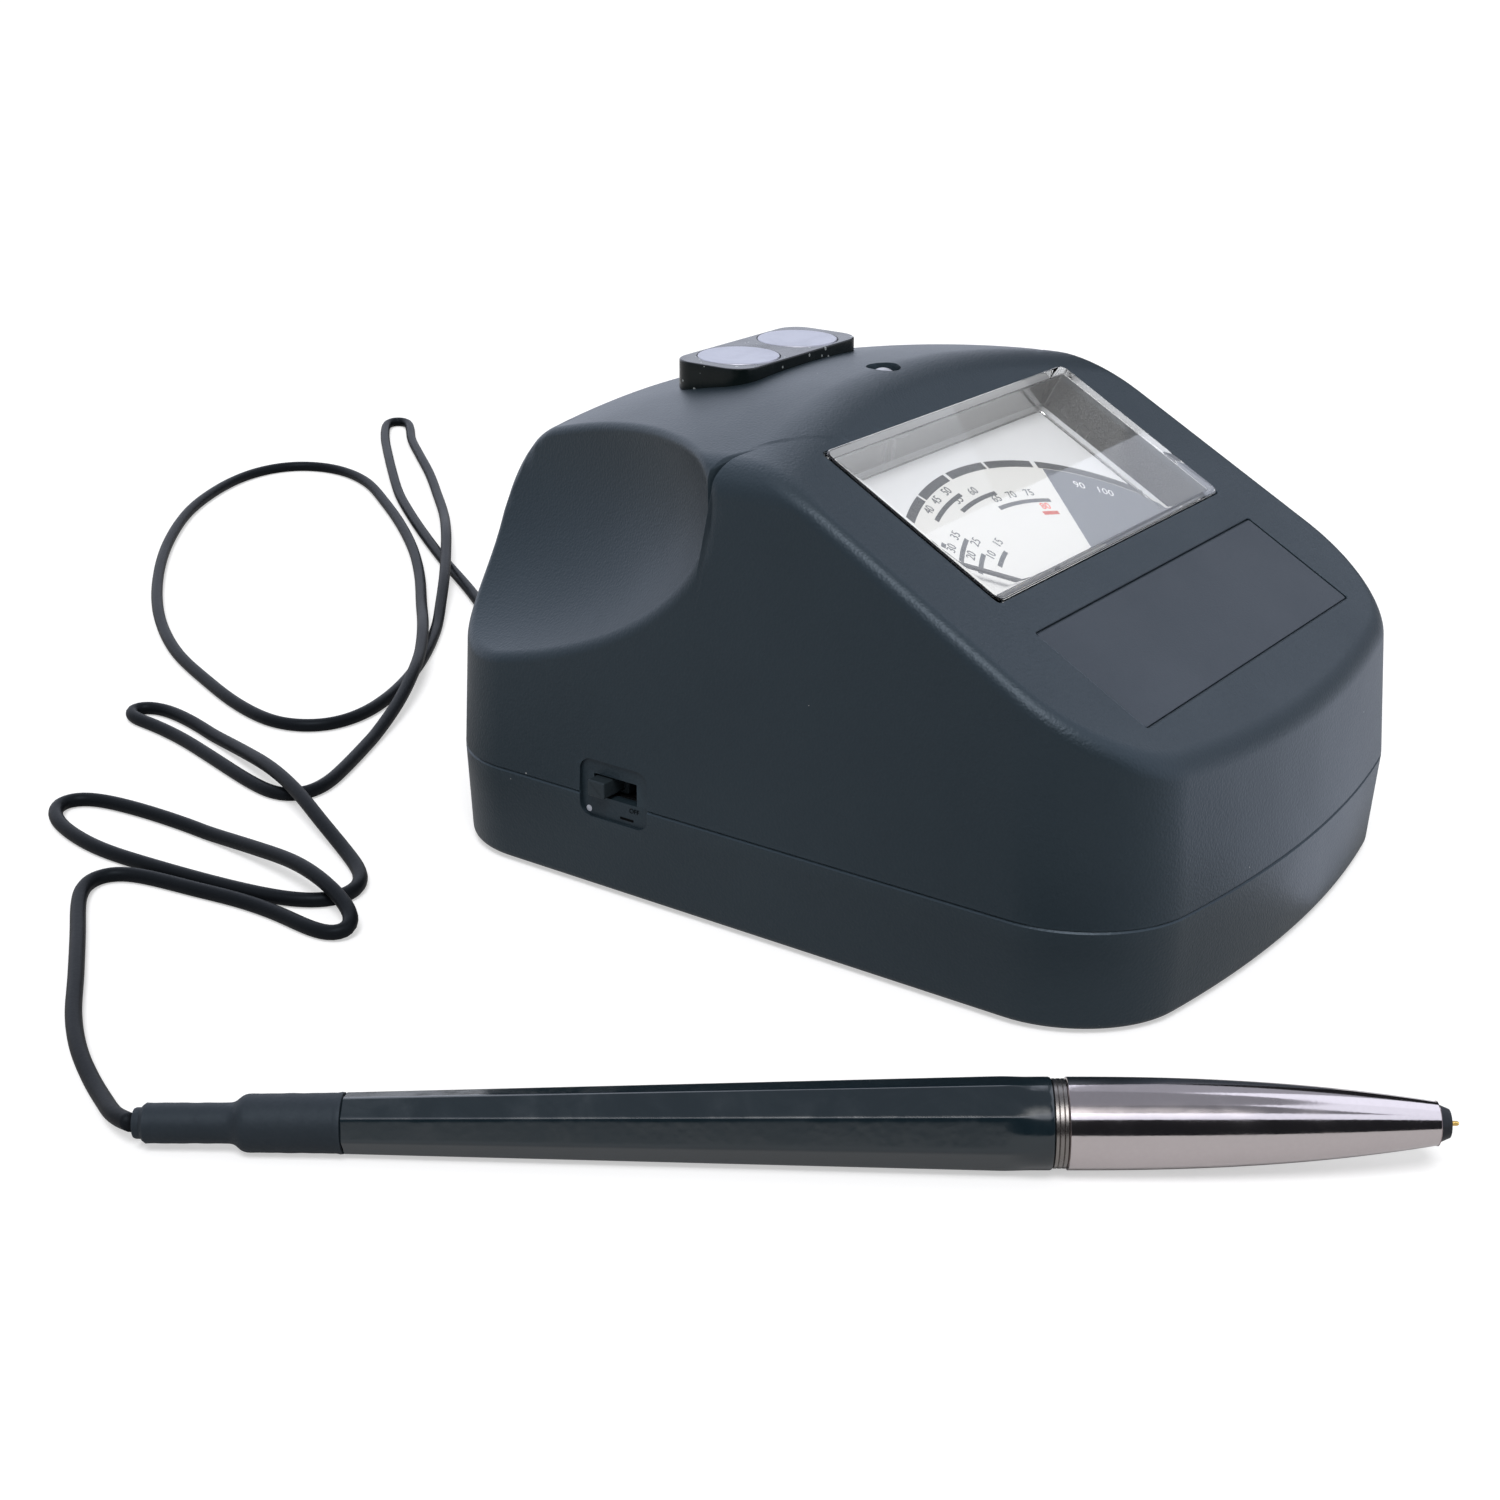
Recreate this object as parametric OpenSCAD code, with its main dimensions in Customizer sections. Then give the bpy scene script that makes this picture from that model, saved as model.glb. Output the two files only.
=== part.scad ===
// Gemstone tester: a moulded counter case with a tilted dial meter, two reference discs,
// a side slide switch, and a probe pen on a thin cord.
// Millimetres, +Z up. X runs across the case, -Y is the front, z = 0 is the counter top.

/* [Case] */
// Width of the case at its parting line
case_w = 100; // [94:1:108]
// Length of the case from its bowed front to its rear wall
case_l = 125; // [120:1:132]
// Height of the roof's crest above the counter
case_h = 74.2; // [72:0.2:80]
// Height of the line where the two mouldings meet
parting_z = 15.8; // [15:0.2:18]
// How far the rubber feet hold the case off the counter
foot_stand = 0.6; // [0.4:0.1:1.2]
// Wall of both mouldings
wall = 2.4; // [1.8:0.1:3]
// Radius of the four upright corners
corner_r = 15; // [11:0.5:18]
// Radius of the bowed front, seen from above
front_bow_r = 200; // [150:10:400]
// Lean of the side walls, in degrees
side_draft = 3; // [1:0.5:5]
// Lean of the front wall, in degrees
front_draft = 5; // [2:0.5:8]
// Rounding of the panel's edges
edge_r = 2.25; // [2:0.25:5]
// Rounding between the roof and the walls, toward the front
roof_edge_r = 4; // [3:0.5:8]
// Rounding between the roof and the walls, at the rear
rear_edge_r = 11; // [8:0.5:12]

/* [Roof and panel] */
// Radius of the roof seen from the side
roof_len_r = 150; // [100:5:200]
// Radius of the roof seen from the front
roof_cross_r = 208; // [120:4:300]
// Place of the roof's crest behind the middle of the case
crest_y = 3; // [0:0.5:10]
// Tilt of the front panel, in degrees
panel_tilt = 29; // [26:0.5:31]
// Drop from the roof's crest to the panel at the front edge of the window
panel_drop = 20.8; // [20:0.2:23.4]
// Place of the window's front edge
window_y = -29; // [-32:0.5:-27]

/* [Side scoops] */
// How far outside the side wall the scoop's bowl is centred
bowl_out = 7.9; // [6:0.1:10]
// How far behind the rear wall the scoop's bowl is centred
bowl_back = 11.2; // [9:0.1:14]
// Drop from the roof's crest to the centre of the scoop's bowl
bowl_drop = 11.2; // [9:0.1:14]
// Half the width of the scoop's bowl
bowl_w = 29.3; // [26:0.1:31]
// Half the length of the scoop's bowl
bowl_l = 68.4; // [64:0.2:72]
// Half the height of the scoop's bowl
bowl_h = 33.5; // [30:0.1:36]
// Rounding of the scoop's rim
rim_r = 1.2; // [0.8:0.1:2.5]

/* [Meter] */
// Width of the window in the panel
window_w = 69.4; // [62:0.2:72]
// Length of the window up the panel
window_l = 33.2; // [30:0.2:34.4]
// Depth of the dial below the panel
dial_depth = 9; // [8:0.25:10.5]
// Thickness of the dial plate
dial_t = 0.6; // [0.4:0.1:1]
// How far the clear cover stands proud of the panel
cover_proud = 0.4; // [0.2:0.1:1]
// Thickness of the clear cover's top
cover_t = 1.4; // [1:0.1:2]
// Distance of the needle's pivot in front of the window
pivot_s = 9; // [8:0.25:10]
// Length of the needle from its pivot
needle_l = 37; // [30:0.5:38]
// Angle of the resting needle from straight up the dial, in degrees
needle_rest = 47; // [40:1:50]
// Radius of the needle's spindle
spindle_r = 0.6; // [0.4:0.05:1]
// Running clearance of the spindle in its jewels
spindle_gap = 0.05; // [0.02:0.01:0.08]
// Depth of the meter's tub below the dial
tub_depth = 15; // [14:0.5:16]

/* [Label] */
// Width of the bare label plate
label_w = 68.4; // [50:0.2:72]
// Length of the bare label plate up the panel
label_l = 19.4; // [14:0.2:20.5]
// Distance from the window to the label plate
label_gap = 6.4; // [5:0.2:8]
// Thickness of the label plate
label_t = 0.5; // [0.3:0.1:1]

/* [Reference discs] */
// Width of the disc block
block_w = 33; // [30:0.5:36]
// Length of the disc block
block_l = 14; // [14:0.5:17]
// Drop from the roof's crest to the disc block's top
block_drop = 0.2; // [-2:0.1:1]
// Place of the disc block behind the middle of the case
block_y = 33.2; // [31:0.2:36]
// Radius of a reference disc
disc_r = 6.4; // [5:0.1:6.5]
// Distance between the two discs
disc_pitch = 16; // [15:0.5:18]
// Thickness of a reference disc
disc_t = 2; // [1.2:0.2:3]

/* [Switch and lamp] */
// Place of the slide switch along the side
switch_y = 25.4; // [23:0.2:27]
// Length of the recess round the switch
recess_l = 12.6; // [12:0.2:14]
// Height of the recess round the switch
recess_h = 9.2; // [8.4:0.2:10]
// Depth of the recess round the switch
recess_d = 0.7; // [0.4:0.1:1]
// Length of the knob along the side
knob_l = 3.1; // [2.4:0.1:3.4]
// Height of the knob
knob_h = 2.6; // [2:0.1:2.8]
// Travel of the knob
knob_travel = 4.3; // [3.4:0.1:4.6]
// Gap round the knob in its slot
knob_gap = 0.3; // [0.2:0.05:0.4]
// Radius of the ready lamp
led_r = 2.4; // [1.5:0.1:2.8]
// Gap round the ready lamp in the roof
led_gap = 0.25; // [0.1:0.05:0.4]
// Place of the ready lamp behind the middle of the case
led_y = 12; // [11:0.2:16]

/* [Batteries] */
// Radius of one battery cell
cell_r = 7.2; // [7:0.1:7.25]
// Length of one battery cell, with its button
cell_len = 50; // [48:0.5:51]
// Number of cells
cell_count = 3; // [2:1:3]
// Clearance round the cells and their door
bay_gap = 0.4; // [0.3:0.05:0.6]

/* [Fasteners and feet] */
// Radius of a rubber foot
foot_r = 5; // [4:0.25:6]
// Radius of a case screw's shank
screw_r = 1.4; // [1:0.1:1.6]
// Radius of a case screw's head
screw_head_r = 2.6; // [2.2:0.1:2.8]

/* [Probe pen] */
// Length of the pen's octagonal barrel
barrel_l = 85; // [70:1:100]
// Radius of the barrel at its tail
barrel_r0 = 3.55; // [3.4:0.05:4.2]
// Radius of the barrel at its front
barrel_r1 = 5.6; // [5.4:0.1:6.4]
// Length of the metal cone
cone_l = 44.2; // [38:0.5:50]
// Radius of the metal cone at its front
cone_r1 = 2.6; // [2.4:0.1:3]
// Length of the pen's flexible sleeve
sleeve_l = 25.6; // [20:0.5:32]
// Radius of the probe tip
tip_r = 0.3; // [0.25:0.01:0.4]
// How far the probe tip stands out of the nose
tip_out = 1.2; // [1:0.1:1.6]
// Travel of the spring-loaded tip
tip_travel = 0.9; // [0.5:0.1:0.9]
// Running clearance of the tip's plunger
plunger_gap = 0.05; // [0.02:0.01:0.08]

/* [Cord] */
// Diameter of the cord
cord_d = 2.3; // [2:0.1:2.4]

/* [Hidden] */
$fn = 48;
eps = 0.01;
seat = 0.02;

// Heights that follow the roof's crest
panel_z = case_h - panel_drop;
block_z = case_h - block_drop;

// Where the panel's own axes lie: x across, s up the slope, n out of the panel
panel_s = [0, cos(panel_tilt), sin(panel_tilt)];
panel_n = [0, -sin(panel_tilt), cos(panel_tilt)];
module on_panel() translate([0, window_y, panel_z]) rotate([panel_tilt, 0, 0]) children();

// Rounded meeting of two surfaces
function meet(a, b, r) = min(-r, max(a, b)) + norm([max(r + a, 0), max(r + b, 0)]);

// Signed distances to the mouldings' faces, negative inside
function side_face(p, d) = (abs(p.x) - case_w / 2 + abs(p.z - parting_z) * tan(d)) * cos(d);
function front_face(p, d) = (p.x * p.x / (2 * front_bow_r) - case_l / 2 - p.y
    + abs(p.z - parting_z) * tan(d)) * cos(d);
function rear_face(p) = p.y - case_l / 2 + abs(p.z - parting_z) * tan(1);
function outline(p) = let (up = p.z >= parting_z)
    meet(meet(side_face(p, side_draft), front_face(p, up ? front_draft : side_draft), corner_r),
        rear_face(p), corner_r);
function roof_face(p) = let (dy = (p.y - crest_y) / roof_len_r, dx = p.x / roof_cross_r)
    (p.z - case_h + roof_len_r * dy * dy / 2 + roof_cross_r * dx * dx / 2) / norm([1, dx, dy]);
function panel_face(p) = (p - [0, window_y, panel_z]) * panel_n;
function scoop_face(p) = let (
    q = [abs(p.x) - case_w / 2 - bowl_out, p.y - case_l / 2 - bowl_back, p.z - case_h + bowl_drop],
    u = [q.x / bowl_w, q.y / bowl_l, q.z / bowl_h], k = norm(u))
    k * (1 - k) / norm([u.x / bowl_w, u.y / bowl_l, u.z / bowl_h]);
function top_face(p) = max(roof_face(p), panel_face(p));
// the roof's rounding grows over the rear third of the case
function roof_round(p) = roof_edge_r + (rear_edge_r - roof_edge_r) * max(0, min(1, 3 * p.y / case_l - 0.5));
function upper_face(p) = meet(meet(meet(outline(p), roof_face(p), roof_round(p)), panel_face(p), edge_r),
    scoop_face(p), rim_r);

// Compass directions round the case, closest together at its corners
corner_n = 9;
side_n = [22, 10, 22, 12];
function corner_at(q) = [[1, -1], [1, 1], [-1, 1], [-1, -1]][q];
function ring_corner(q, k, n) = let (c = corner_at(q), a = q * 90 - 90 + 90 * k / n)
    [c.x * (case_w / 2 - corner_r) + corner_r * cos(a),
        c.y * (case_l / 2 - corner_r) + corner_r * sin(a)];
function compass(n, sides) = [for (q = [0:3]) each concat(
    [for (k = [0:n]) ring_corner(q, k, n)],
    [for (k = [1:sides[q] - 1]) let (t = k / sides[q])
        ring_corner(q, n, n) * (1 - t) + ring_corner((q + 1) % 4, 0, n) * t])];

// Distance from the middle of the parting plane to a face along a direction
function reach(d, inset, lo, hi, left) = left == 0 ? (lo + hi) / 2 :
    let (mid = (lo + hi) / 2)
    upper_face([0, 0, parting_z] + d * mid) + inset > 0 ? reach(d, inset, lo, mid, left - 1)
        : reach(d, inset, mid, hi, left - 1);
function wall_reach(d, lo, hi, left) = left == 0 ? (lo + hi) / 2 :
    let (mid = (lo + hi) / 2)
    outline([0, 0, parting_z] + d * mid) > 0 ? wall_reach(d, lo, mid, left - 1)
        : wall_reach(d, mid, hi, left - 1);
function aim(c, a) = let (u = c / norm(c)) [u.x * cos(a), u.y * cos(a), sin(a)];
// Elevation at which the side wall ends and the roof, panel or scoop begins
function rim_angle(c, lo, hi, left) = left == 0 ? (lo + hi) / 2 :
    let (mid = (lo + hi) / 2, d = aim(c, mid), p = [0, 0, parting_z] + d * wall_reach(d, 5, 120, 14))
    max(top_face(p), scoop_face(p)) > 0 ? rim_angle(c, lo, mid, left - 1)
        : rim_angle(c, mid, hi, left - 1);
// Elevation at which the scoop ends and the roof begins
function top_reach(d, lo, hi, left) = left == 0 ? (lo + hi) / 2 :
    let (mid = (lo + hi) / 2)
    top_face([0, 0, parting_z] + d * mid) > 0 ? top_reach(d, lo, mid, left - 1)
        : top_reach(d, mid, hi, left - 1);
function roof_angle(c, lo, hi, left) = left == 0 ? (lo + hi) / 2 :
    let (mid = (lo + hi) / 2, d = aim(c, mid), p = [0, 0, parting_z] + d * top_reach(d, 5, 130, 14))
    scoop_face(p) > 0 ? roof_angle(c, mid, hi, left - 1) : roof_angle(c, lo, mid, left - 1);
function rows(rim, roof, n) = concat(
    [for (k = [0:n[0]]) rim * (1 - pow(1 - k / n[0], 1.5))],
    [for (k = [1:n[1]]) rim + (roof - rim) * (1 - cos(180 * k / n[1])) / 2],
    [for (k = [1:n[2] - 1]) roof + (90 - roof) * pow(k / n[2], 1.5)]);

// The moulded skin of the upper case, at a depth below its outer face; n counts the rows up the wall,
// up the scoop and over the roof
function skin_rings(around, inset, n) = let (cols = [for (c = around) let (rim = rim_angle(c, 5, 80, 12),
        roof = max(roof_angle(c, rim, 86, 12), rim + 4))
        [for (a = rows(rim, roof, n)) let (d = aim(c, a))
            [0, 0, parting_z] + d * reach(d, inset, 5, 130, 22)]])
    [for (j = [0:n[0] + n[1] + n[2] - 1]) [for (col = cols) col[j]]];
function ring_faces(count, n) = [for (j = [0:count - 2], i = [0:n - 1]) let (k = (i + 1) % n)
    each [[j * n + i, (j + 1) * n + i, (j + 1) * n + k], [j * n + i, (j + 1) * n + k, j * n + k]]];
module stack(rings) {
    n = len(rings[0]);
    last = len(rings) - 1;
    polyhedron([for (r = rings) each r], concat(ring_faces(len(rings), n),
        [[for (i = [0:n - 1]) i]], [[for (i = [n - 1:-1:0]) last * n + i]]));
}
module domed_stack(rings, crown) {
    n = len(rings[0]);
    last = len(rings) - 1;
    polyhedron(concat([for (r = rings) each r], [crown]), concat(ring_faces(len(rings), n),
        [[for (i = [0:n - 1]) i]],
        [for (i = [0:n - 1]) [last * n + i, len(rings) * n, last * n + (i + 1) % n]]));
}
function crown(inset) = [0, 0, parting_z + reach([0, 0, 1], inset, 5, 130, 22)];

// Outline of the case at a level, drawn in by an inset
function flat_reach(c, z, inset, lo, hi, left) = left == 0 ? (lo + hi) / 2 :
    let (mid = (lo + hi) / 2, u = c / norm(c) * mid)
    outline([u.x, u.y, z]) + inset > 0 ? flat_reach(c, z, inset, lo, mid, left - 1)
        : flat_reach(c, z, inset, mid, hi, left - 1);
function level(around, z, inset) = [for (c = around) let (
    u = c / norm(c) * flat_reach(c, z, inset, 5, 130, 22)) [u.x, u.y, z]];

outer_compass = compass(corner_n, side_n);
inner_compass = compass(5, [6, 6, 6, 6]);
seam = 0.3;

// Places of the pieces that hold the case together
boss_x = case_w / 2 - wall - 6.6;
boss_at = [[boss_x, -33], [boss_x, 39], [-boss_x, 39], [-boss_x, -33]];
boss_r = screw_r + 2.2;
boss_h = 9;
screw_bite = boss_h - 1;
foot_x = case_w / 2 - corner_r - 1;
foot_y = case_l / 2 - corner_r;
foot_at = [[foot_x, -foot_y + 3], [foot_x, foot_y], [-foot_x, foot_y], [-foot_x, -foot_y + 3]];
foot_pocket = 1.2;
floor_z = foot_stand + wall;

// Meter layout on the panel's axes
cover_gap = 0.15;
cover_w = window_w - 2 * cover_gap;
cover_l = window_l - 2 * cover_gap;
cover_wall = 1.3;
dial_n = -dial_depth;
tub_rim_n = dial_n - dial_t - seat;
tub_floor_n = dial_n - dial_t - tub_depth;
tub_w = window_w + 4;
tub_front_s = -pivot_s - 14;
tub_back_s = window_l + 1.4;
tub_wall = 1.5;
ear_x = tub_w / 2 + 3;
ear_s = [tub_front_s + 6, tub_back_s - 9];
ear_t = 2;
ear_n = dial_n - 3;
yoke_r = 12.4;
yoke_wall = 2.6;
yoke_n0 = tub_floor_n + tub_wall + seat;
yoke_h = 9.4;
core_r = 5.6;
strap_w = 3;
strap_reach = sqrt(pow(yoke_r - yoke_wall, 2) - pow(strap_w / 2, 2)) - seat;
coil_half = 7.4;
coil_wire = 1.2;
coil_d = 3;
coil_n0 = yoke_n0 + 0.6;
coil_n1 = dial_n - dial_t - 1.2;
needle_n = dial_n + 1.6;
bridge_n = dial_n + 3.6;
bridge_t = 1.2;
bridge_x = yoke_r - yoke_wall / 2;
bridge_post_r = 1.3;

// Bevel round the disc block's top
block_bevel = 0.25;

// Switch layout
knob_z = parting_z + 1.9;
slot_h = knob_h + 2 * knob_gap;
slot_l = knob_l + knob_travel + 2 * knob_gap;
knob_y = switch_y + knob_travel / 2;
side_x = case_w / 2;
switch_x = side_x - wall - 0.9;
switch_d = 6;

// Circuit board over the battery bay
board_z = 23;
board_t = 1.6;
post_x = case_w / 2 - 17;
post_y = [-9, case_l / 2 - 12];
post_at = [[post_x, post_y[0]], [post_x, post_y[1]], [-post_x, post_y[1]], [-post_x, post_y[0]]];
post_margin = 4;
board_w = 2 * (post_x + post_margin - 1);
board_l = post_y[1] - post_y[0] + 2 * post_margin;
board_y = (post_y[0] + post_y[1]) / 2;
board_arm_w = 20;
board_arm_l = 13;
chip_at = [[-8, 30], [12, 28]];
chip_size = [[14, 10, 2.2], [9, 6, 1.6]];
can_r = 2.4;
can_h = 5;
can_pitch = 9;
can_at = [-20, 46];

// Battery bay
cell_pitch = 2 * cell_r + bay_gap;
bay_y = 1;
bay_l = cell_count * cell_pitch + bay_gap;
bay_w = cell_len + 7;
contact_w = 10;
contact_h = 9;
contact_t = 0.6;
door_w = bay_w - 4;
door_l = bay_l - 2;
door_t = wall - 0.6;
cell_z = foot_stand + door_t + 0.3 + cell_r;
hinge_r = 0.6;
bead_r = 1.6;
hinge_y = bay_y - door_l / 2 + bead_r;
hinge_z = foot_stand + bead_r;
hinge_gap = 0.05;

// Cord exit
grommet_z = 9.4;
grommet_r = 2.9;
grommet_l = 8.3;
grommet_in = wall + 2.3;
grommet_y = case_l / 2 - grommet_in;

// Probe pen on its own axis, x running from tail to tip
pen_tail = [-138.7, 28.8, 3.25];
pen_yaw = -55.9;
pen_pitch = 1.34;
module on_pen() translate(pen_tail) rotate([0, -pen_pitch, pen_yaw]) children();
module spin_pen() on_pen() rotate([0, 90, 0]) rotate([0, 0, 90]) rotate_extrude() children();
ferrule_l = 1.7;
nose_l = 1.4;
barrel_x = sleeve_l;
ferrule_x = barrel_x + barrel_l;
cone_x = ferrule_x + ferrule_l;
nose_x = cone_x + cone_l;
tip_x = nose_x + nose_l + tip_out;
cord_hole_r = cord_d / 2 + 0.3;
plunger_r = 1.1;
plunger_l = 7;
plunger_x = nose_x - 1.45;
spring_r = 1.5;
spring_wire = 0.4;
spring_turns = 7;
spring_seat_x = nose_x - 19;
spring_l = plunger_x - plunger_l - spring_seat_x - spring_wire - 0.16;
barrel_bore = 2.6;
spigot_r = 3.9;
spigot_l = 9;

// Cord from the grommet to the pen: x, y and how many strands it lies on
cord_route = [[6, 86, 0], [24, 110, 0], [44, 137, 0], [70, 175, 0], [91, 202.5, 0], [117, 231, 0],
    [137.5, 251.2, 0], [142, 253.4, 0], [144, 250, 0], [139.5, 244.5, 0], [121, 224, 0], [97, 196, 0],
    [83, 181, 0.3], [68, 166.5, 0.95], [57, 156.5, 1], [44.5, 145.5, 0.9], [34, 137, 0.4], [24.5, 129.5, 0],
    [13, 121.5, 0], [2, 115, 0], [-9, 110, 0], [-19, 107.5, 0], [-27, 109, 0], [-31, 116, 0], [-29.5, 127, 0],
    [-24.5, 141, 0], [-16, 160, 0], [-3, 179.5, 0], [14, 199, 0], [33, 217, 0], [53, 232, 0], [73, 241.5, 0],
    [87, 243.5, 0], [95.5, 239, 0], [98, 229, 0], [94, 216, 0], [84, 200.5, 0], [60, 169, 0], [47, 155, 0],
    [32.5, 141, 0.2], [18, 127, 0.9], [6, 116.5, 1], [-3.5, 109.5, 1], [-14, 103.5, 0.5], [-26, 98, 0],
    [-37, 93, 0], [-46, 89.5, 0], [-51.5, 89.5, 0], [-53.8, 93, 0], [-52.6, 101, 0], [-46.4, 124, 0],
    [-44.8, 134, 0], [-44.6, 139.5, 0], [-41.8, 142.4, 0], [-38.9, 139.6, 0], [-39.2, 132, 0], [-42, 121, 0],
    [-46, 109, 0.4], [-51, 97, 0.95], [-55.5, 86.5, 1], [-60, 76.5, 0.6], [-64, 67, 0.1], [-68, 60, 0],
    [-72.5, 56.6, 0], [-77, 57.2, 0], [-80.2, 61.5, 0], [-82.2, 68.5, 0], [-84.7, 87, 0], [-85.4, 98, 0],
    [-84.2, 107, 0], [-81.5, 114.5, 0], [-77.5, 118.5, 0], [-73.8, 117, 0], [-72, 110.5, 0], [-71.2, 101, 0],
    [-71.3, 90, 0], [-72.6, 79, 0.4], [-75, 67, 0.95], [-77.5, 58, 1], [-79.6, 51.5, 0.6], [-82, 47.6, 0.2],
    [-85, 48, 0], [-85.7, 53, 0], [-85, 60, 0], [-85.2, 68, 0], [-87.7, 84, 0], [-89.5, 90, 0], [-93.5, 91.5, 0],
    [-98.5, 88, 0], [-107, 78, 0], [-123, 59.5, 0], [-129, 51, 0], [-134, 42, 0.2]];
strand_gap = 0.6;
cord_start = [0, grommet_y, grommet_z];
cord_end_dir = [cos(pen_yaw), sin(pen_yaw), 0];
cord_end = pen_tail - cord_end_dir * 0.35;
cord_points = concat([cord_start, cord_start + [0, grommet_in, 0], cord_start + [0, grommet_l + 1, -0.1],
        cord_start + [1.5, grommet_l + 9, -4.2]],
    [for (p = cord_route) [p.x, p.y, cord_d / 2 + p.z * (cord_d + strand_gap)]],
    [cord_end - cord_end_dir * 4 + [0.9, 0.6, -0.2], cord_end]);
function spline(p, i, t) = let (a = p[max(i - 1, 0)], b = p[i], c = p[i + 1],
    d = p[min(i + 2, len(p) - 1)])
    b + 0.5 * t * (c - a + t * (2 * a - 5 * b + 4 * c - d + t * (3 * b - a - 3 * c + d)));
cord_line = [for (i = [0:len(cord_points) - 2]) each
    (norm(cord_points[i + 1] - cord_points[i]) > 30 ? [spline(cord_points, i, 0),
        spline(cord_points, i, 0.5)] : [spline(cord_points, i, 0)])];
cord_path = concat(cord_line, [cord_end]);
function way(p, i) = let (v = p[min(i + 1, len(p) - 1)] - p[max(i - 1, 0)]) v / norm(v);
function tube_rings(p, r, n) = [for (i = [0:len(p) - 1]) let (t = way(p, i),
    u = cross(t, [0, 0, 1]) / norm(cross(t, [0, 0, 1])), v = cross(u, t))
    [for (k = [0:n - 1]) p[i] + r * (u * cos(360 * k / n + 22.5) + v * sin(360 * k / n + 22.5))]];
cord_fine = [for (i = [0:len(cord_path) - 2], t = [0:0.25:0.75]) cord_path[i] * (1 - t) + cord_path[i + 1] * t];
cord_clear = min([for (i = [0:len(cord_fine) - 1], j = [i + 16:1:len(cord_fine) - 1])
    norm(cord_fine[i] - cord_fine[j])]) - cord_d;

module rounded_box(size, r) linear_extrude(size.z) rounded_square([size.x, size.y], r);
module rounded_square(size, r) {
    square([size.x - 2 * r, size.y], center = true);
    square([size.x, size.y - 2 * r], center = true);
    for (x = [-1, 1], y = [-1, 1]) translate([x * (size.x / 2 - r), y * (size.y / 2 - r)]) circle(r);
}
// A rounded box that stands on the panel: x, first s, first n, then its sizes
module panel_box(x, s, n, size, r) on_panel() translate([x, s + size.y / 2, n]) rounded_box(size, r);

module switch_recess() translate([-side_x + recess_d, switch_y, parting_z + 1.2])
    rotate([0, -90, 0]) rounded_box([recess_h, recess_l, 6], 2);

// Upper moulding: one skin of roof, tilted panel, walls and scoops, hollow inside
module upper_case() color("#34373d") difference() {
    union() {
        difference() {
            domed_stack(skin_rings(outer_compass, 0, [8, 9, 14]), crown(0));
            domed_stack(concat([level(inner_compass, parting_z - 1, wall)],
                skin_rings(inner_compass, wall, [4, 4, 7])), crown(wall));
        }
        // Screw bosses, each tied to the side wall by a rib
        for (b = boss_at) {
            translate([b.x, b.y, parting_z]) cylinder(h = boss_h, r = boss_r);
            translate([b.x > 0 ? b.x : b.x - 7.4, b.y - 0.8, parting_z + 1]) cube([7.4, 1.6, boss_h - 1]);
        }
        // Posts for the meter's ears
        on_panel() for (x = [-1, 1], s = ear_s) translate([x * ear_x, s, ear_n])
            cylinder(h = -ear_n - wall + 1, r = 2.4);
        // Pad below the disc block
        translate([0, block_y, block_z - 7.6]) rounded_box([block_w, block_l, 3], 3.9);
        // Collar for the lamp
        translate([0, led_y, case_h - 9]) cylinder(h = 8.4 - wall / 2, r = led_r + 1.6);
    }
    // Window, label recess, lamp hole and disc seat
    panel_box(0, 0, -wall * 2.4, [window_w, window_l, wall * 4], 0.8);
    panel_box(0, -label_gap - label_l - 0.2, -label_t, [label_w + 0.4, label_l + 0.4, 8], 0.6);
    translate([0, led_y, case_h - 20]) cylinder(h = 30, r = led_r + led_gap);
    translate([0, block_y, block_z - 12]) rounded_box([block_w - 3, block_l - 3, 20], 3);
    translate([0, block_y, block_z - 4.6]) rounded_box([block_w + 0.2, block_l + 0.2, 20], 4);
    // Screw pilots
    for (b = boss_at) translate([b.x, b.y, parting_z - 1]) cylinder(h = screw_bite + 1.3, r = screw_r);
    on_panel() for (x = [-1, 1], s = ear_s) translate([x * ear_x, s, ear_n - 1])
        cylinder(h = 6, r = screw_r * 0.75);
    // Switch recess and slot
    switch_recess();
    translate([-side_x - 1, switch_y - slot_l / 2, parting_z - 1])
        cube([wall + 4, slot_l, knob_z + slot_h / 2 - parting_z + 1]);
}

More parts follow.
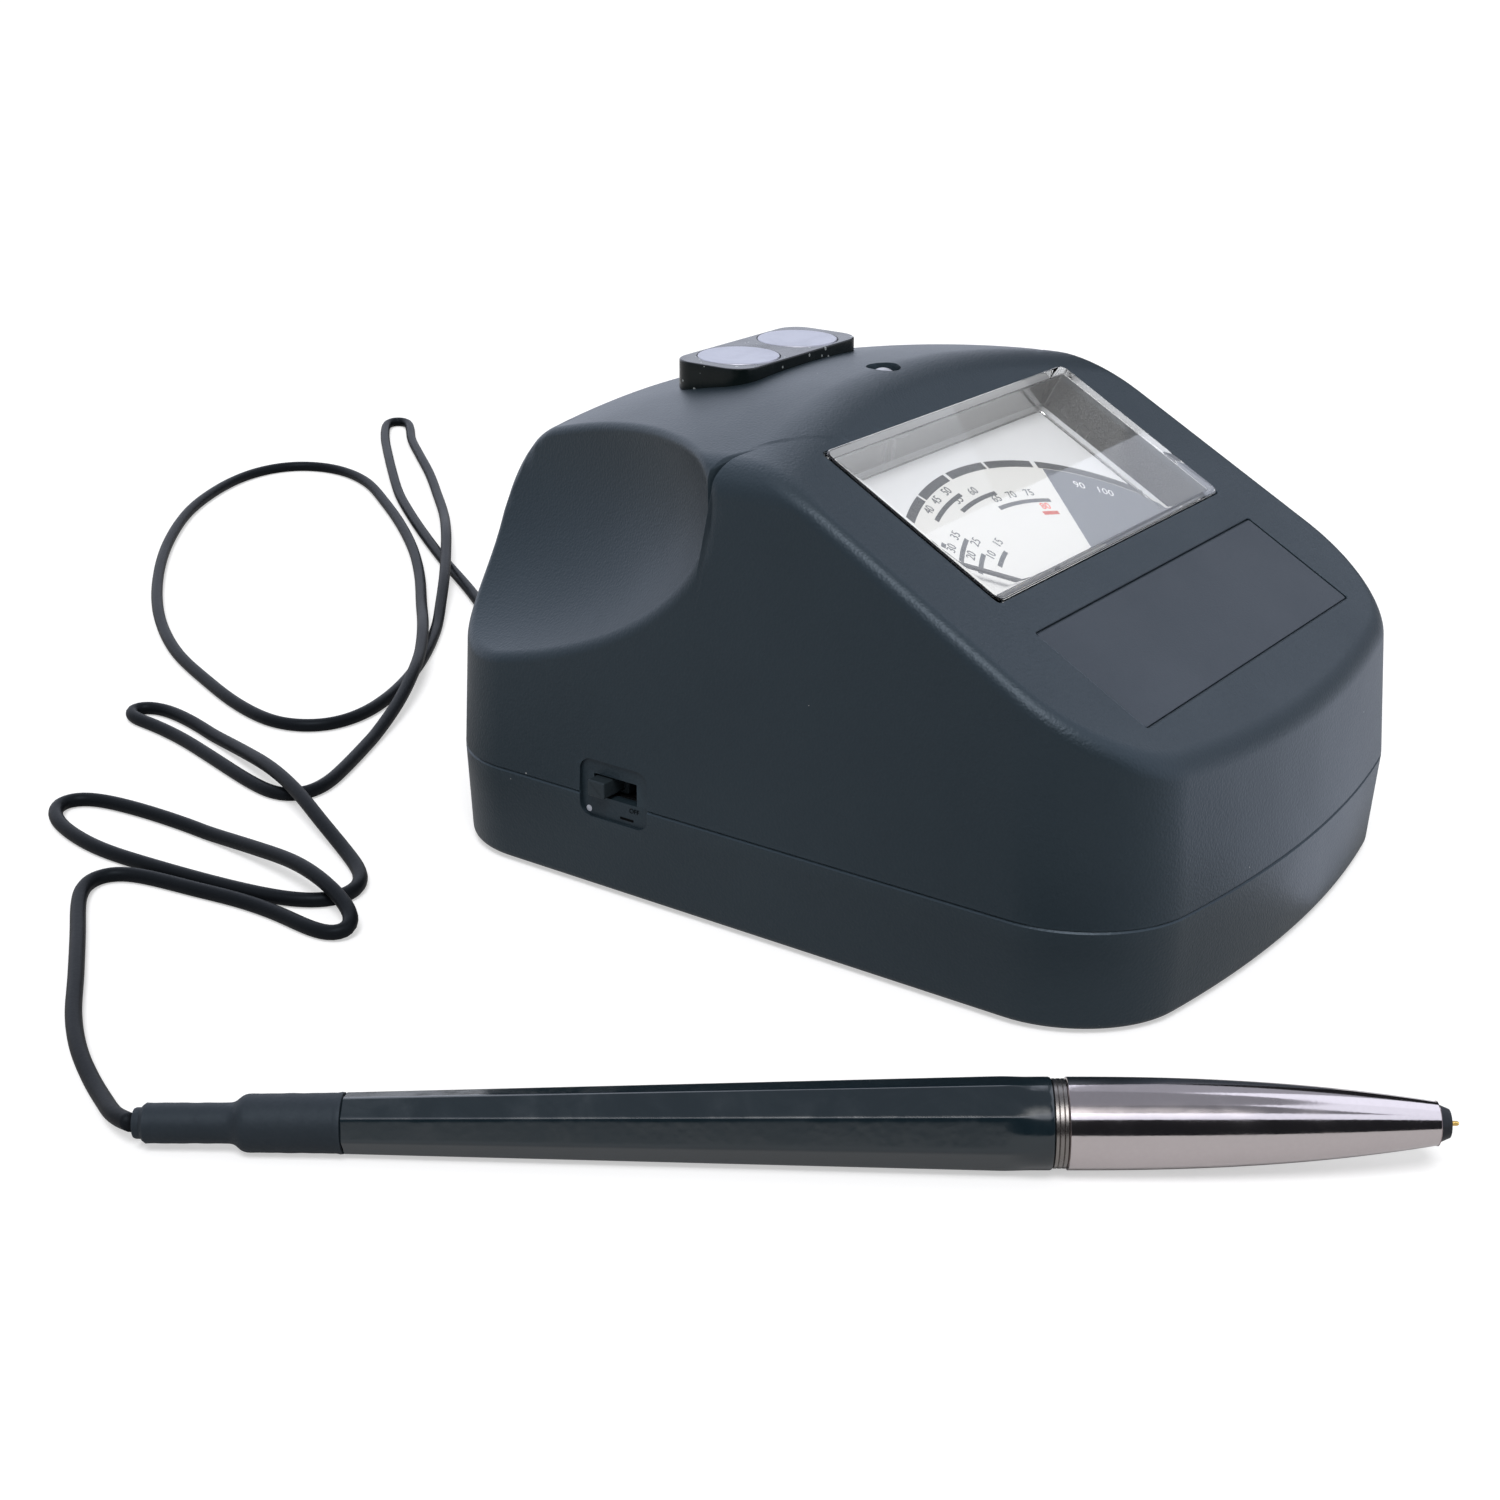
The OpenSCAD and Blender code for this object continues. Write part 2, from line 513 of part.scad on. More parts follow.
// Lower moulding: a tray with feet pockets, screw pillars, battery bay and board posts
module lower_case() color("#2f3238") difference() {
    union() {
        difference() {
            stack([level(outer_compass, foot_stand, 1.2), level(outer_compass, foot_stand + 0.35, 0.35),
                level(outer_compass, foot_stand + 1.2, 0), level(outer_compass, parting_z - seam, 0),
                level(outer_compass, parting_z - seat, seam)]);
            stack([level(inner_compass, floor_z, wall + 0.6), level(inner_compass, parting_z + 1, wall)]);
        }
        for (b = boss_at) translate([b.x, b.y, floor_z - 1]) cylinder(h = parting_z - seat - floor_z + 1,
            r = boss_r);
        for (p = post_at) translate([p.x, p.y, floor_z - 1])
            cylinder(h = board_z - floor_z + 1 - seat, r = 2.4);
        // Walls of the battery bay
        translate([0, bay_y, floor_z - 1]) difference() {
            translate([0, 0, 5.5]) cube([bay_w + 3, bay_l + 3, 11], center = true);
            translate([0, 0, 7]) cube([bay_w, bay_l, 20], center = true);
        }
    }
    for (f = foot_at) translate([f.x, f.y, foot_stand - 1]) cylinder(h = foot_pocket + 1, r = foot_r + 0.1);
    for (b = boss_at) translate([b.x, b.y, foot_stand - 1]) {
        cylinder(h = parting_z + 2, r = screw_r + 0.3);
        cylinder(h = 6, r = screw_head_r + 0.3);
    }
    for (p = post_at) translate([p.x, p.y, board_z - 8]) cylinder(h = 10, r = 0.9);
    // Opening of the battery door and the holes of its hinge pin
    translate([-bay_w / 2, hinge_y, hinge_z]) rotate([0, 90, 0]) cylinder(h = bay_w, r = hinge_r + seat);
    translate([0, bay_y, foot_stand]) cube([door_w + 2 * bay_gap, door_l + 2 * bay_gap, 8],
        center = true);
    switch_recess();
    translate([0, case_l / 2 - 10, grommet_z]) rotate([-90, 0, 0]) cylinder(h = 14, r = grommet_r);
}

module battery_door() color("#2b2e33") difference() {
    union() {
        translate([-door_w / 2, hinge_y, foot_stand]) cube([door_w, door_l - bead_r, door_t]);
        // Grip ribs
        for (k = [0:3]) translate([-9, bay_y + door_l / 2 - 6 - k * 2.2, foot_stand - 0.3])
            cube([18, 0.9, 0.6]);
        // Bead that turns on the hinge pin
        translate([-door_w / 2, hinge_y, hinge_z]) rotate([0, 90, 0]) cylinder(h = door_w, r = bead_r);
    }
    translate([-door_w, hinge_y, hinge_z]) rotate([0, 90, 0])
        cylinder(h = door_w * 2, r = hinge_r + hinge_gap);
}

module door_hinge_pin() color("#9a9ca0") translate([-bay_w / 2, hinge_y, hinge_z])
    rotate([0, 90, 0]) cylinder(h = bay_w, r = hinge_r);

module rubber_feet() color("#1c1c1e") for (f = foot_at) translate([f.x, f.y, 0]) {
    cylinder(h = 0.4, r1 = foot_r - 0.4, r2 = foot_r);
    translate([0, 0, 0.4]) cylinder(h = foot_stand + foot_pocket - seat - 0.4, r = foot_r);
}

module case_screws() color("#8d9096") for (b = boss_at) translate([b.x, b.y, foot_stand + 5 - 1.8]) {
    difference() {
        cylinder(h = 1.8 - seat, r = screw_head_r);
        translate([0, 0, -1]) cylinder(h = 1.8, r = 1.2, $fn = 6);
    }
    cylinder(h = parting_z + screw_bite - foot_stand - 3.2, r = screw_r - seat);
}

// Meter tub: an open tray below the dial, hung by four ears
module meter_tub() color("#26282c") on_panel() difference() {
    union() {
        translate([0, (tub_front_s + tub_back_s) / 2, tub_floor_n]) difference() {
            rounded_box([tub_w, tub_back_s - tub_front_s, tub_rim_n - tub_floor_n], 3);
            translate([0, 0, tub_wall]) rounded_box([tub_w - 2 * tub_wall,
                tub_back_s - tub_front_s - 2 * tub_wall, tub_depth], 2);
        }
        for (x = [-1, 1], s = ear_s) translate([0, s, ear_n - seat - ear_t]) {
            translate([x * ear_x, 0, 0]) cylinder(h = ear_t, r = 3);
            translate([x > 0 ? tub_w / 2 - 1 : -ear_x, -3, 0]) cube([ear_x - tub_w / 2 + 1, 6, ear_t]);
        }
        translate([0, -pivot_s, tub_floor_n]) cylinder(h = tub_wall + 0.25, r = 2);
    }
    for (x = [-1, 1], s = ear_s) translate([x * ear_x, s, ear_n - 6])
        cylinder(h = 8, r = screw_r * 0.75 + 0.2);
    translate([0, -pivot_s, tub_floor_n + 0.6]) cylinder(h = tub_wall + 2, r = spindle_r + spindle_gap);
}

// Clear cover: a shallow box open below and at the front, where the needle comes in
module meter_cover() color("#dfe6ee", 0.35) on_panel() difference() {
    translate([0, window_l / 2, dial_n + seat])
        rounded_box([cover_w, cover_l, dial_depth + cover_proud - seat], 0.7);
    translate([0, window_l / 2, dial_n - 1]) cube([cover_w - 2 * cover_wall, cover_l - 2 * cover_wall,
        2 * (dial_depth + cover_proud - cover_t + 1)], center = true);
    translate([0, 0, dial_n - 1]) cube([cover_w - 2 * cover_wall, 4 * cover_wall,
        2 * (dial_depth - wall - 0.4)], center = true);
}

module dial_plate() color("#ece9e4") on_panel() difference() {
    translate([0, (tub_front_s + tub_back_s) / 2, dial_n - dial_t])
        rounded_box([tub_w - 0.4, tub_back_s - tub_front_s - 0.4, dial_t], 2.8);
    translate([0, -pivot_s, dial_n - 2]) cylinder(h = 4, r = spindle_r + 1.6);
    for (x = [-1, 1]) translate([x * bridge_x, -pivot_s, dial_n - 2])
        cylinder(h = 4, r = bridge_post_r + 0.2);
}

module meter_screws() color("#9a9ca0") on_panel() for (x = [-1, 1], s = ear_s)
    translate([x * ear_x, s, ear_n - ear_t - 2 * seat - 1]) {
        cylinder(h = 1, r = 2);
        cylinder(h = 6, r = screw_r * 0.75 - seat);
    }

// Soft-iron ring round the moving coil
module magnet_yoke() color("#7b7d82") on_panel() translate([0, -pivot_s, yoke_n0]) difference() {
    cylinder(h = yoke_h, r = yoke_r);
    translate([0, 0, -1]) cylinder(h = yoke_h + 2, r = yoke_r - yoke_wall);
}

// Magnet inside the coil, held by two straps beyond the coil's swing
module core_magnet() color("#55575c") on_panel() translate([0, -pivot_s, yoke_n0]) difference() {
    union() {
        translate([0, 0, 2.8]) cylinder(h = yoke_h - 4.4, r = core_r);
        translate([0, 0, yoke_h / 2]) cube([strap_w, 2 * strap_reach, 2], center = true);
    }
    cylinder(h = yoke_h, r = spindle_r + 0.6);
}

// Strap over the dial that carries the upper jewel
module bearing_bridge() color("#b9a36a") on_panel() translate([0, -pivot_s, 0]) difference() {
    union() {
        translate([0, 0, bridge_n]) rounded_box([2 * bridge_x + 4, 4, bridge_t], 1.9);
        for (x = [-1, 1]) translate([x * bridge_x, 0, yoke_n0 + yoke_h + seat])
            cylinder(h = bridge_n - yoke_n0 - yoke_h, r = bridge_post_r);
    }
    translate([0, 0, bridge_n - 1]) cylinder(h = bridge_t + 2, r = spindle_r + spindle_gap);
}

module swung() on_panel() translate([0, -pivot_s, 0]) rotate([0, 0, needle_rest]) children();

// Coil frame, a hollow rectangle that turns round the core magnet
module moving_coil() color("#a5582c") swung() difference() {
    translate([-coil_half, -coil_d / 2, coil_n0]) cube([2 * coil_half, coil_d, coil_n1 - coil_n0]);
    translate([-coil_half + coil_wire, -coil_d, coil_n0 + coil_wire])
        cube([2 * (coil_half - coil_wire), 2 * coil_d, coil_n1 - coil_n0 - 2 * coil_wire]);
    translate([0, 0, coil_n0 - 1]) cylinder(h = coil_n1 - coil_n0 + 2, r = spindle_r);
}

module needle_spindle() color("#c9ccd0") swung() {
    translate([0, 0, coil_n1 - coil_wire]) cylinder(h = bridge_n + bridge_t - coil_n1 + coil_wire - 0.2,
        r = spindle_r);
    translate([0, 0, tub_floor_n + 0.65]) cylinder(h = coil_n0 - tub_floor_n - 0.65 + coil_wire,
        r = spindle_r);
}

// Needle with a tapering blade, a hub and three balance arms
module meter_needle() color("#1d1d20") swung() difference() {
    union() {
        translate([0, 0, needle_n - 0.7]) cylinder(h = 1.4, r = 1.9);
        translate([0, 0, needle_n - 0.2]) linear_extrude(0.4)
            polygon([[-0.55, 1], [0.55, 1], [0.22, needle_l], [-0.22, needle_l]]);
        for (a = [90, 180, 270]) rotate([0, 0, a]) translate([-0.4, 1, needle_n - 0.4])
            cube([0.8, a == 180 ? 6 : 4, 0.8]);
    }
    translate([0, 0, needle_n - 2]) cylinder(h = 4, r = spindle_r);
}

module circuit_board() color("#2f5d3a") translate([0, 0, board_z]) linear_extrude(board_t) difference() {
    union() {
        translate([0, board_y]) square([board_w, board_l], center = true);
        translate([-switch_x, switch_y - board_arm_l / 2]) square([board_arm_w, board_arm_l]);
    }
    for (p = post_at) translate(p) circle(1.1);
    for (b = boss_at) translate(b) circle(boss_r + 0.6);
}

module circuit_chips() color("#222326") translate([0, 0, board_z + board_t + seat]) {
    for (k = [0:1]) translate(chip_at[k]) rounded_box(chip_size[k], 0.5);
    for (k = [0:2]) translate(can_at + [k * can_pitch, 0]) cylinder(h = can_h, r = can_r);
}

// Switch body below the board, with a channel for its slider
module switch_body() color("#3a3c40") difference() {
    translate([-switch_x, switch_y - 6, board_z - seat - 10]) cube([switch_d, 12, 10]);
    translate([-switch_x - 1, switch_y - slot_l / 2 - 1, knob_z - slot_h / 2 - 0.6])
        cube([3.6, slot_l + 2, slot_h + 1.2]);
}

// Slider and knob, at the rear end of the slot
module switch_knob() color("#4a4d55") {
    translate([-side_x - 1.3, knob_y - knob_l / 2, knob_z - knob_h / 2])
        cube([side_x + 1.3 - switch_x + 2.2, knob_l, knob_h]);
    translate([-switch_x + 0.3, knob_y - knob_l / 2 - 0.9, knob_z - knob_h / 2 - 0.5])
        cube([2, knob_l + 1.8, knob_h + 1]);
}

module ready_lamp() color("#d9dfd8") translate([0, led_y, case_h - 7]) {
    cylinder(h = 4, r = led_r);
    translate([0, 0, 4]) intersection() {
        sphere(led_r);
        translate([0, 0, 3]) cube([6, 6, 6], center = true);
    }
    translate([0, 0, -3.4]) cylinder(h = 1.4, r = led_r + 0.5);
    translate([0, 0, -2.2]) cylinder(h = 2.4, r = led_r);
    for (x = [-1, 1]) translate([x * 1.27, 0, -13]) cylinder(h = 10, r = 0.3);
}

// Raised block that holds the two discs
module disc_block() color("#3c4048") translate([0, block_y, 0]) difference() {
    union() {
        translate([0, 0, block_z - 4.6 + seat]) rounded_box([block_w, block_l, 4.6 - seat - block_bevel], 3.9);
        translate([0, 0, block_z - block_bevel])
            rounded_box([block_w - 2 * block_bevel, block_l - 2 * block_bevel, block_bevel], 3.9 - block_bevel);
        translate([0, 0, block_z - 9]) rounded_box([block_w - 3.2, block_l - 3.2, 6], 2.9);
    }
    for (x = [-1, 1]) translate([x * disc_pitch / 2, 0, block_z - disc_t])
        cylinder(h = disc_t + 1, r = disc_r + seat);
}

module reference_disc(x) color("#b4b3c4") translate([x * disc_pitch / 2, block_y, block_z - disc_t + seat]) {
    cylinder(h = disc_t - 0.2, r = disc_r);
    translate([0, 0, disc_t - 0.2]) cylinder(h = 0.3, r1 = disc_r, r2 = disc_r - 0.3);
}
module reference_disc_left() reference_disc(-1);
module reference_disc_right() reference_disc(1);

module label_plate() color("#3a3d44")
    panel_box(0, -label_gap - label_l, -label_t + seat, [label_w, label_l, label_t - 0.2], 0.5);

module battery_cells() color("#c8903c") for (k = [0:cell_count - 1])
    translate([0, bay_y + (k - (cell_count - 1) / 2) * cell_pitch, cell_z])
    rotate([0, k % 2 == 0 ? 90 : -90, 0]) translate([0, 0, -cell_len / 2]) {
        cylinder(h = cell_len - 1.2, r = cell_r);
        cylinder(h = cell_len, r = 2.7);
    }

module battery_contacts() color("#c9ccd0") for (x = [-1, 1], k = [0:cell_count - 1])
    translate([x * (bay_w / 2 - 0.3 - seat), bay_y + (k - (cell_count - 1) / 2) * cell_pitch, cell_z]) {
        cube([contact_t, contact_w, contact_h], center = true);
        rotate([0, -x * 90, 0]) cylinder(h = (bay_w - cell_len) / 2 - 0.3 - 2 * seat, r = 2.2);
    }

// Grommet in the rear wall: a flange inside, a tapering collar outside, a flared mouth
module cord_grommet() color("#1e1f22") translate([0, grommet_y, grommet_z]) rotate([-90, 0, 0])
    rotate_extrude() polygon([[cord_d / 2 + seat, 0], [grommet_r + 1, 0], [grommet_r + 1, 1.3],
        [grommet_r - seat, 1.3], [grommet_r - seat, grommet_in + 0.3], [grommet_r + 0.8, grommet_in + 0.3],
        [grommet_r + 0.8, grommet_in + 0.9], [grommet_r - 0.6, grommet_l], [cord_d / 2 + 0.6, grommet_l],
        [cord_d / 2 + seat, grommet_in + 0.3]]);

module probe_cord() color("#202226") stack(tube_rings(cord_path, cord_d / 2, 8));

module pen_sleeve() color("#1f2226") spin_pen() polygon([[cord_hole_r, 0], [1.9, 0], [1.9, 0.9],
    [2.45, 1.4], [2.5, sleeve_l / 2 - 0.2], [3.5, sleeve_l / 2 + 0.2], [barrel_r0, sleeve_l - 0.1],
    [barrel_r0, sleeve_l - seat], [barrel_bore - 0.1, sleeve_l - seat],
    [barrel_bore - 0.1, sleeve_l + 6], [cord_hole_r, sleeve_l + 6]]);

// Eight-sided tapering barrel that turns round at its front
module pen_barrel() color("#22262c") on_pen() rotate([0, 90, 0]) rotate([0, 0, 7]) difference() {
    union() {
        translate([0, 0, barrel_x]) cylinder(h = barrel_l - 6, r1 = barrel_r0 / cos(22.5) - 0.1,
            r2 = barrel_r1 / cos(22.5) - 0.35, $fn = 8);
        hull() {
            translate([0, 0, ferrule_x - 6]) cylinder(h = 0.1, r = barrel_r1 / cos(22.5) - 0.35, $fn = 8);
            translate([0, 0, ferrule_x - 1.6 - seat]) cylinder(h = 1.6, r = barrel_r1 - 0.05, $fn = 32);
        }
    }
    translate([0, 0, barrel_x - 1]) cylinder(h = barrel_l + 2, r = barrel_bore);
    translate([0, 0, ferrule_x - spigot_l - 0.3]) cylinder(h = spigot_l + 2, r = spigot_r);
}

module ferrule_ring() color("#6e655c") spin_pen() polygon([[spigot_r, ferrule_x], [barrel_r1 - 0.4, ferrule_x],
    [barrel_r1 - 0.25, ferrule_x + 0.3], [barrel_r1 - 0.25, cone_x - 0.3], [barrel_r1 - 0.4, cone_x - seat],
    [spigot_r, cone_x - seat]]);

// Polished bullet-shaped cone with a spigot into the barrel
cone_steps = 14;
function cone_at(t) = cone_r1 + (barrel_r1 - 0.05 - cone_r1) * sqrt(max(0, 1 - pow(t, 4)));
module grip_cone() color("#b9b2a6") spin_pen() polygon(concat(
    [[barrel_bore - 0.4, ferrule_x - spigot_l], [spigot_r - seat, ferrule_x - spigot_l],
        [spigot_r - seat, cone_x]],
    [for (k = [0:cone_steps]) let (t = sin(90 * k / cone_steps)) [cone_at(t), cone_x + t * cone_l]],
    [[1.75, nose_x], [1.75, spring_seat_x], [0.9, spring_seat_x], [0.9, spring_seat_x - 5],
        [barrel_bore - 0.4, spring_seat_x - 5]]));

// Nose that guides the plunger
module tip_nose() color("#17181a") spin_pen() polygon([[plunger_r + plunger_gap, nose_x - 8],
    [1.73, nose_x - 8], [1.73, nose_x + seat], [cone_r1 - 0.25, nose_x + seat],
    [1.75, nose_x + nose_l], [tip_r + 0.15, nose_x + nose_l], [tip_r + 0.15, nose_x - 1.4],
    [plunger_r + plunger_gap, nose_x - 1.4]]);

module tip_plunger() color("#d2b25c") spin_pen() polygon([[0, plunger_x - plunger_l], [plunger_r, plunger_x - plunger_l],
    [plunger_r, plunger_x], [tip_r, plunger_x], [tip_r, tip_x - 0.2], [tip_r * 0.6, tip_x], [0, tip_x]]);

// Coil spring behind the plunger
function spring_point(t) = let (a = 360 * spring_turns * t)
    [plunger_x - plunger_l - spring_wire / 2 - 0.06 - t * spring_l, (spring_r - spring_wire) * cos(a),
        (spring_r - spring_wire) * sin(a)];
spring_path = [for (k = [0:8 * spring_turns]) spring_point(k / (8 * spring_turns))];
function spring_ring(k) = let (t = way(spring_path, k), u = cross(t, [1, 0, 0]) / norm(cross(t, [1, 0, 0])),
    v = cross(u, t)) [for (j = [0:5]) spring_path[k] + spring_wire / 2 * (u * cos(60 * j) + v * sin(60 * j))];
module tip_spring() color("#c9ccd0") on_pen() stack([for (k = [0:len(spring_path) - 1]) spring_ring(k)]);

echo(cord_rings = len(cord_path), cord_gap_to_itself = cord_clear);

upper_case();
lower_case();
battery_door();
door_hinge_pin();
rubber_feet();
case_screws();
meter_tub();
meter_cover();
dial_plate();
meter_screws();
magnet_yoke();
core_magnet();
bearing_bridge();
moving_coil();
needle_spindle();
meter_needle();
circuit_board();
circuit_chips();
switch_body();
switch_knob();
ready_lamp();
disc_block();
reference_disc_left();
reference_disc_right();
label_plate();
battery_cells();
battery_contacts();
cord_grommet();
probe_cord();
pen_sleeve();
pen_barrel();
ferrule_ring();
grip_cone();
tip_nose();
tip_plunger();
tip_spring();
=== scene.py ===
"""Gemstone tester: the looks of a moulded counter case with a dial meter and a probe pen on a cord.

Sizes are millimetres in the part's own frame, and become metres where a mesh is made. X runs across
the case, -Y is the front, and z = 0 is the counter top.
"""

import math

import bpy
import numpy as np
from mathutils import Matrix

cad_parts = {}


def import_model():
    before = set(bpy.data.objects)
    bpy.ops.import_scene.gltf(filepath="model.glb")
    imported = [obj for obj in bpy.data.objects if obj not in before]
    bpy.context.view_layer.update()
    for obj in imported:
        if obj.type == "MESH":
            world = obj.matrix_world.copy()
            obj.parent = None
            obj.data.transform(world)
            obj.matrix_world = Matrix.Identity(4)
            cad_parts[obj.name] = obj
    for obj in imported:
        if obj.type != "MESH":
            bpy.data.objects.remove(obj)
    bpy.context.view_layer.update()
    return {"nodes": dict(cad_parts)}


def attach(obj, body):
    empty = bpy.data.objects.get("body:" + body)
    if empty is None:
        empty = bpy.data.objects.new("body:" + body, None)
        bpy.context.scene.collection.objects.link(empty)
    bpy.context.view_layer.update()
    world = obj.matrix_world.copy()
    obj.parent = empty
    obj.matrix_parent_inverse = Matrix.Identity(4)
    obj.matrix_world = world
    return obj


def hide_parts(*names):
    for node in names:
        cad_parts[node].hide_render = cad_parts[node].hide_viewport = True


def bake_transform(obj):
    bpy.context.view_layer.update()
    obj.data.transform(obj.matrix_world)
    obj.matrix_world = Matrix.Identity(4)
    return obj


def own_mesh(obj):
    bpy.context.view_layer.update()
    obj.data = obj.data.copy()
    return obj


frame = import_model()
MM = 0.001

# Driving sizes of the case, the same as the solid's
CASE_W, CASE_L, CASE_H = 100.0, 125.0, 74.2
PARTING_Z, FOOT_STAND, WALL = 15.8, 0.6, 2.4
CORNER_R, FRONT_BOW_R, EDGE_R, ROOF_EDGE_R, REAR_EDGE_R = 15.0, 200.0, 2.25, 4.0, 11.0
SIDE_DRAFT, FRONT_DRAFT, REAR_DRAFT = np.radians([3.0, 5.0, 1.0])
ROOF_LEN_R, ROOF_CROSS_R, CREST_Y = 150.0, 208.0, 3.0
PANEL_TILT, PANEL_Z, WINDOW_Y = math.radians(29.0), 53.4, -29.0
BOWL_AT = np.array([CASE_W / 2 + 7.9, CASE_L / 2 + 11.2, CASE_H - 11.2])
BOWL_SIZE, RIM_R = np.array([29.3, 68.4, 33.5]), 1.2
SEAM = 0.28
# Rays that find the skin start here, below the middle of the window
MIDDLE = np.array([0.0, -13.0, PARTING_Z])

# Meter, label, discs, switch and lamp
WINDOW_W, WINDOW_L, DIAL_DEPTH = 69.4, 33.2, 9.0
COVER_GAP, COVER_WALL, COVER_T, COVER_PROUD = 0.08, 1.3, 1.4, 0.4
PIVOT_S, ARC_S, ARC_R, PRINT_TURN = -9.8, -16.7, 43.7, -1.8
LABEL_W, LABEL_L, LABEL_GAP, LABEL_T = 68.4, 19.4, 6.4, 0.5
BLOCK_W, BLOCK_L, BLOCK_Z, BLOCK_Y = 33.0, 14.0, 74.0, 33.2
DISC_R, DISC_PITCH, DISC_T, BLOCK_BEVEL = 6.4, 16.0, 2.0, 0.25
BLOCK_T, BLOCK_CORNER = 4.58, 3.9
SWITCH_Y, RECESS_L, RECESS_H, RECESS_D = 25.4, 12.6, 9.2, 0.7
KNOB_L, KNOB_H, KNOB_TRAVEL, KNOB_GAP, KNOB_OUT = 3.1, 2.6, 4.3, 0.3, 1.3
KNOB_Z = PARTING_Z + 1.9
LED_R, LED_GAP, LED_Y = 2.4, 0.25, 12.0
LED_TOP = CASE_H - (LED_Y - CREST_Y) ** 2 / (2 * ROOF_LEN_R)

# Inside of the lower moulding
BOSS_AT = [(41.0, -33.0), (41.0, 39.0), (-41.0, 39.0), (-41.0, -33.0)]
POST_AT = [(33.0, -9.0), (33.0, 50.5), (-33.0, 50.5), (-33.0, -9.0)]
FOOT_AT = [(34.0, -44.5), (34.0, 47.5), (-34.0, 47.5), (-34.0, -44.5)]
FOOT_R, FOOT_POCKET, BOSS_R, SCREW_R, SCREW_HEAD_R = 5.0, 1.2, 3.6, 1.4, 2.6
BAY_Y, BAY_W, BAY_L, DOOR_W, DOOR_L = 1.0, 57.0, 44.8, 53.0, 42.8
BOARD_Z, GROMMET_Z, GROMMET_R, GROMMET_IN = 23.0, 9.4, 2.9, 4.7
LOWER_EDGE_R, POST_R = 1.2, 2.4

# Probe pen: stations along its axis from the tail
PEN_TAIL = np.array([-138.7, 28.8, 3.25])
PEN_YAW, PEN_PITCH = math.radians(-55.9), math.radians(1.34)
SLEEVE_L, BARREL_L, FERRULE_L, CONE_L = 25.6, 85.0, 1.7, 44.2
BARREL_R0, BARREL_R1, CONE_R1, TIP_STROKE = 3.55, 5.6, 2.6, 0.9
BARREL_BORE, WIRE_BORE, SPRING_BORE, SPRING_BACK, SPRING_FRONT = 3.9, 2.6, 1.75, 19.0, 8.5
FERRULE_X = SLEEVE_L + BARREL_L
CONE_X = FERRULE_X + FERRULE_L
NOSE_X = CONE_X + CONE_L

# Cord from the grommet to the pen: x, y and how many strands it lies on
CORD_D, STRAND_GAP = 2.3, 0.6
CORD_ROUTE = [
    (6, 86, 0), (24, 110, 0), (44, 137, 0), (58, 158, 0), (70, 175, 0), (80, 188.5, 0),
    (91, 202.5, 0), (104, 217, 0), (117, 231, 0), (128, 242.5, 0), (137.5, 251.2, 0), (142, 253.4, 0),
    (144, 250, 0), (139.5, 244.5, 0), (131, 236, 0), (121, 224, 0), (109.5, 210, 0), (97, 196, 0),
    (83, 181, 0.3), (68, 166.5, 0.95), (57, 156.5, 1), (44.5, 145.5, 0.9), (34, 137, 0.4),
    (24.5, 129.5, 0), (13, 121.5, 0), (2, 115, 0), (-9, 110, 0), (-19, 107.5, 0), (-27, 109, 0),
    (-31, 116, 0), (-29.5, 127, 0), (-24.5, 141, 0), (-16, 160, 0), (-3, 179.5, 0), (14, 199, 0),
    (33, 217, 0), (53, 232, 0), (73, 241.5, 0), (87, 243.5, 0), (95.5, 239, 0), (98, 229, 0),
    (94, 216, 0), (84, 200.5, 0), (72.5, 184.5, 0), (60, 169, 0), (47, 155, 0), (32.5, 141, 0.2),
    (18, 127, 0.9), (6, 116.5, 1), (-3.5, 109.5, 1), (-14, 103.5, 0.5), (-26, 98, 0), (-37, 93, 0),
    (-46, 89.5, 0), (-51.5, 89.5, 0), (-53.8, 93, 0), (-52.6, 101, 0), (-49.6, 112, 0),
    (-46.4, 124, 0), (-44.8, 134, 0), (-44.6, 139.5, 0), (-41.8, 142.4, 0), (-38.9, 139.6, 0),
    (-39.2, 132, 0), (-42, 121, 0), (-46, 109, 0.4), (-51, 97, 0.95), (-55.5, 86.5, 1),
    (-60, 76.5, 0.6), (-64, 67, 0.1), (-68, 60, 0), (-72.5, 56.6, 0), (-77, 57.2, 0), (-80.2, 61.5, 0),
    (-82.2, 68.5, 0), (-83.6, 77, 0), (-84.7, 87, 0), (-85.4, 98, 0), (-84.2, 107, 0),
    (-81.5, 114.5, 0), (-77.5, 118.5, 0), (-73.8, 117, 0), (-72, 110.5, 0), (-71.2, 101, 0),
    (-71.3, 90, 0), (-72.6, 79, 0.4), (-75, 67, 0.95), (-77.5, 58, 1), (-79.6, 51.5, 0.6),
    (-82, 47.6, 0.2), (-85, 48, 0), (-85.7, 53, 0), (-85, 60, 0), (-85.2, 68, 0), (-86.6, 76.5, 0),
    (-87.7, 84, 0), (-89.5, 90, 0), (-93.5, 91.5, 0), (-98.5, 88, 0), (-107, 78, 0), (-116, 67.5, 0),
    (-123, 59.5, 0), (-129, 51, 0), (-133.5, 42.6, 0), (-136.1, 37.2, 0.2)]

# Camera that matches the photograph, in millimetres, degrees and pixels
CAMERA_AT = (-293.12, -170.20, 150.02)
CAMERA_AZ, CAMERA_EL, CAMERA_ROLL = np.radians([-54.89, 21.98, 0.65])
FOCAL_PX, FRAME_PX, SENSOR_MM = 2298.74, 1500, 36.0

# Studio: radius of the dome of cards and half the floor's side
DOME_R, FLOOR_HALF, FLOOR_Z = 950.0, 4000.0, -0.05


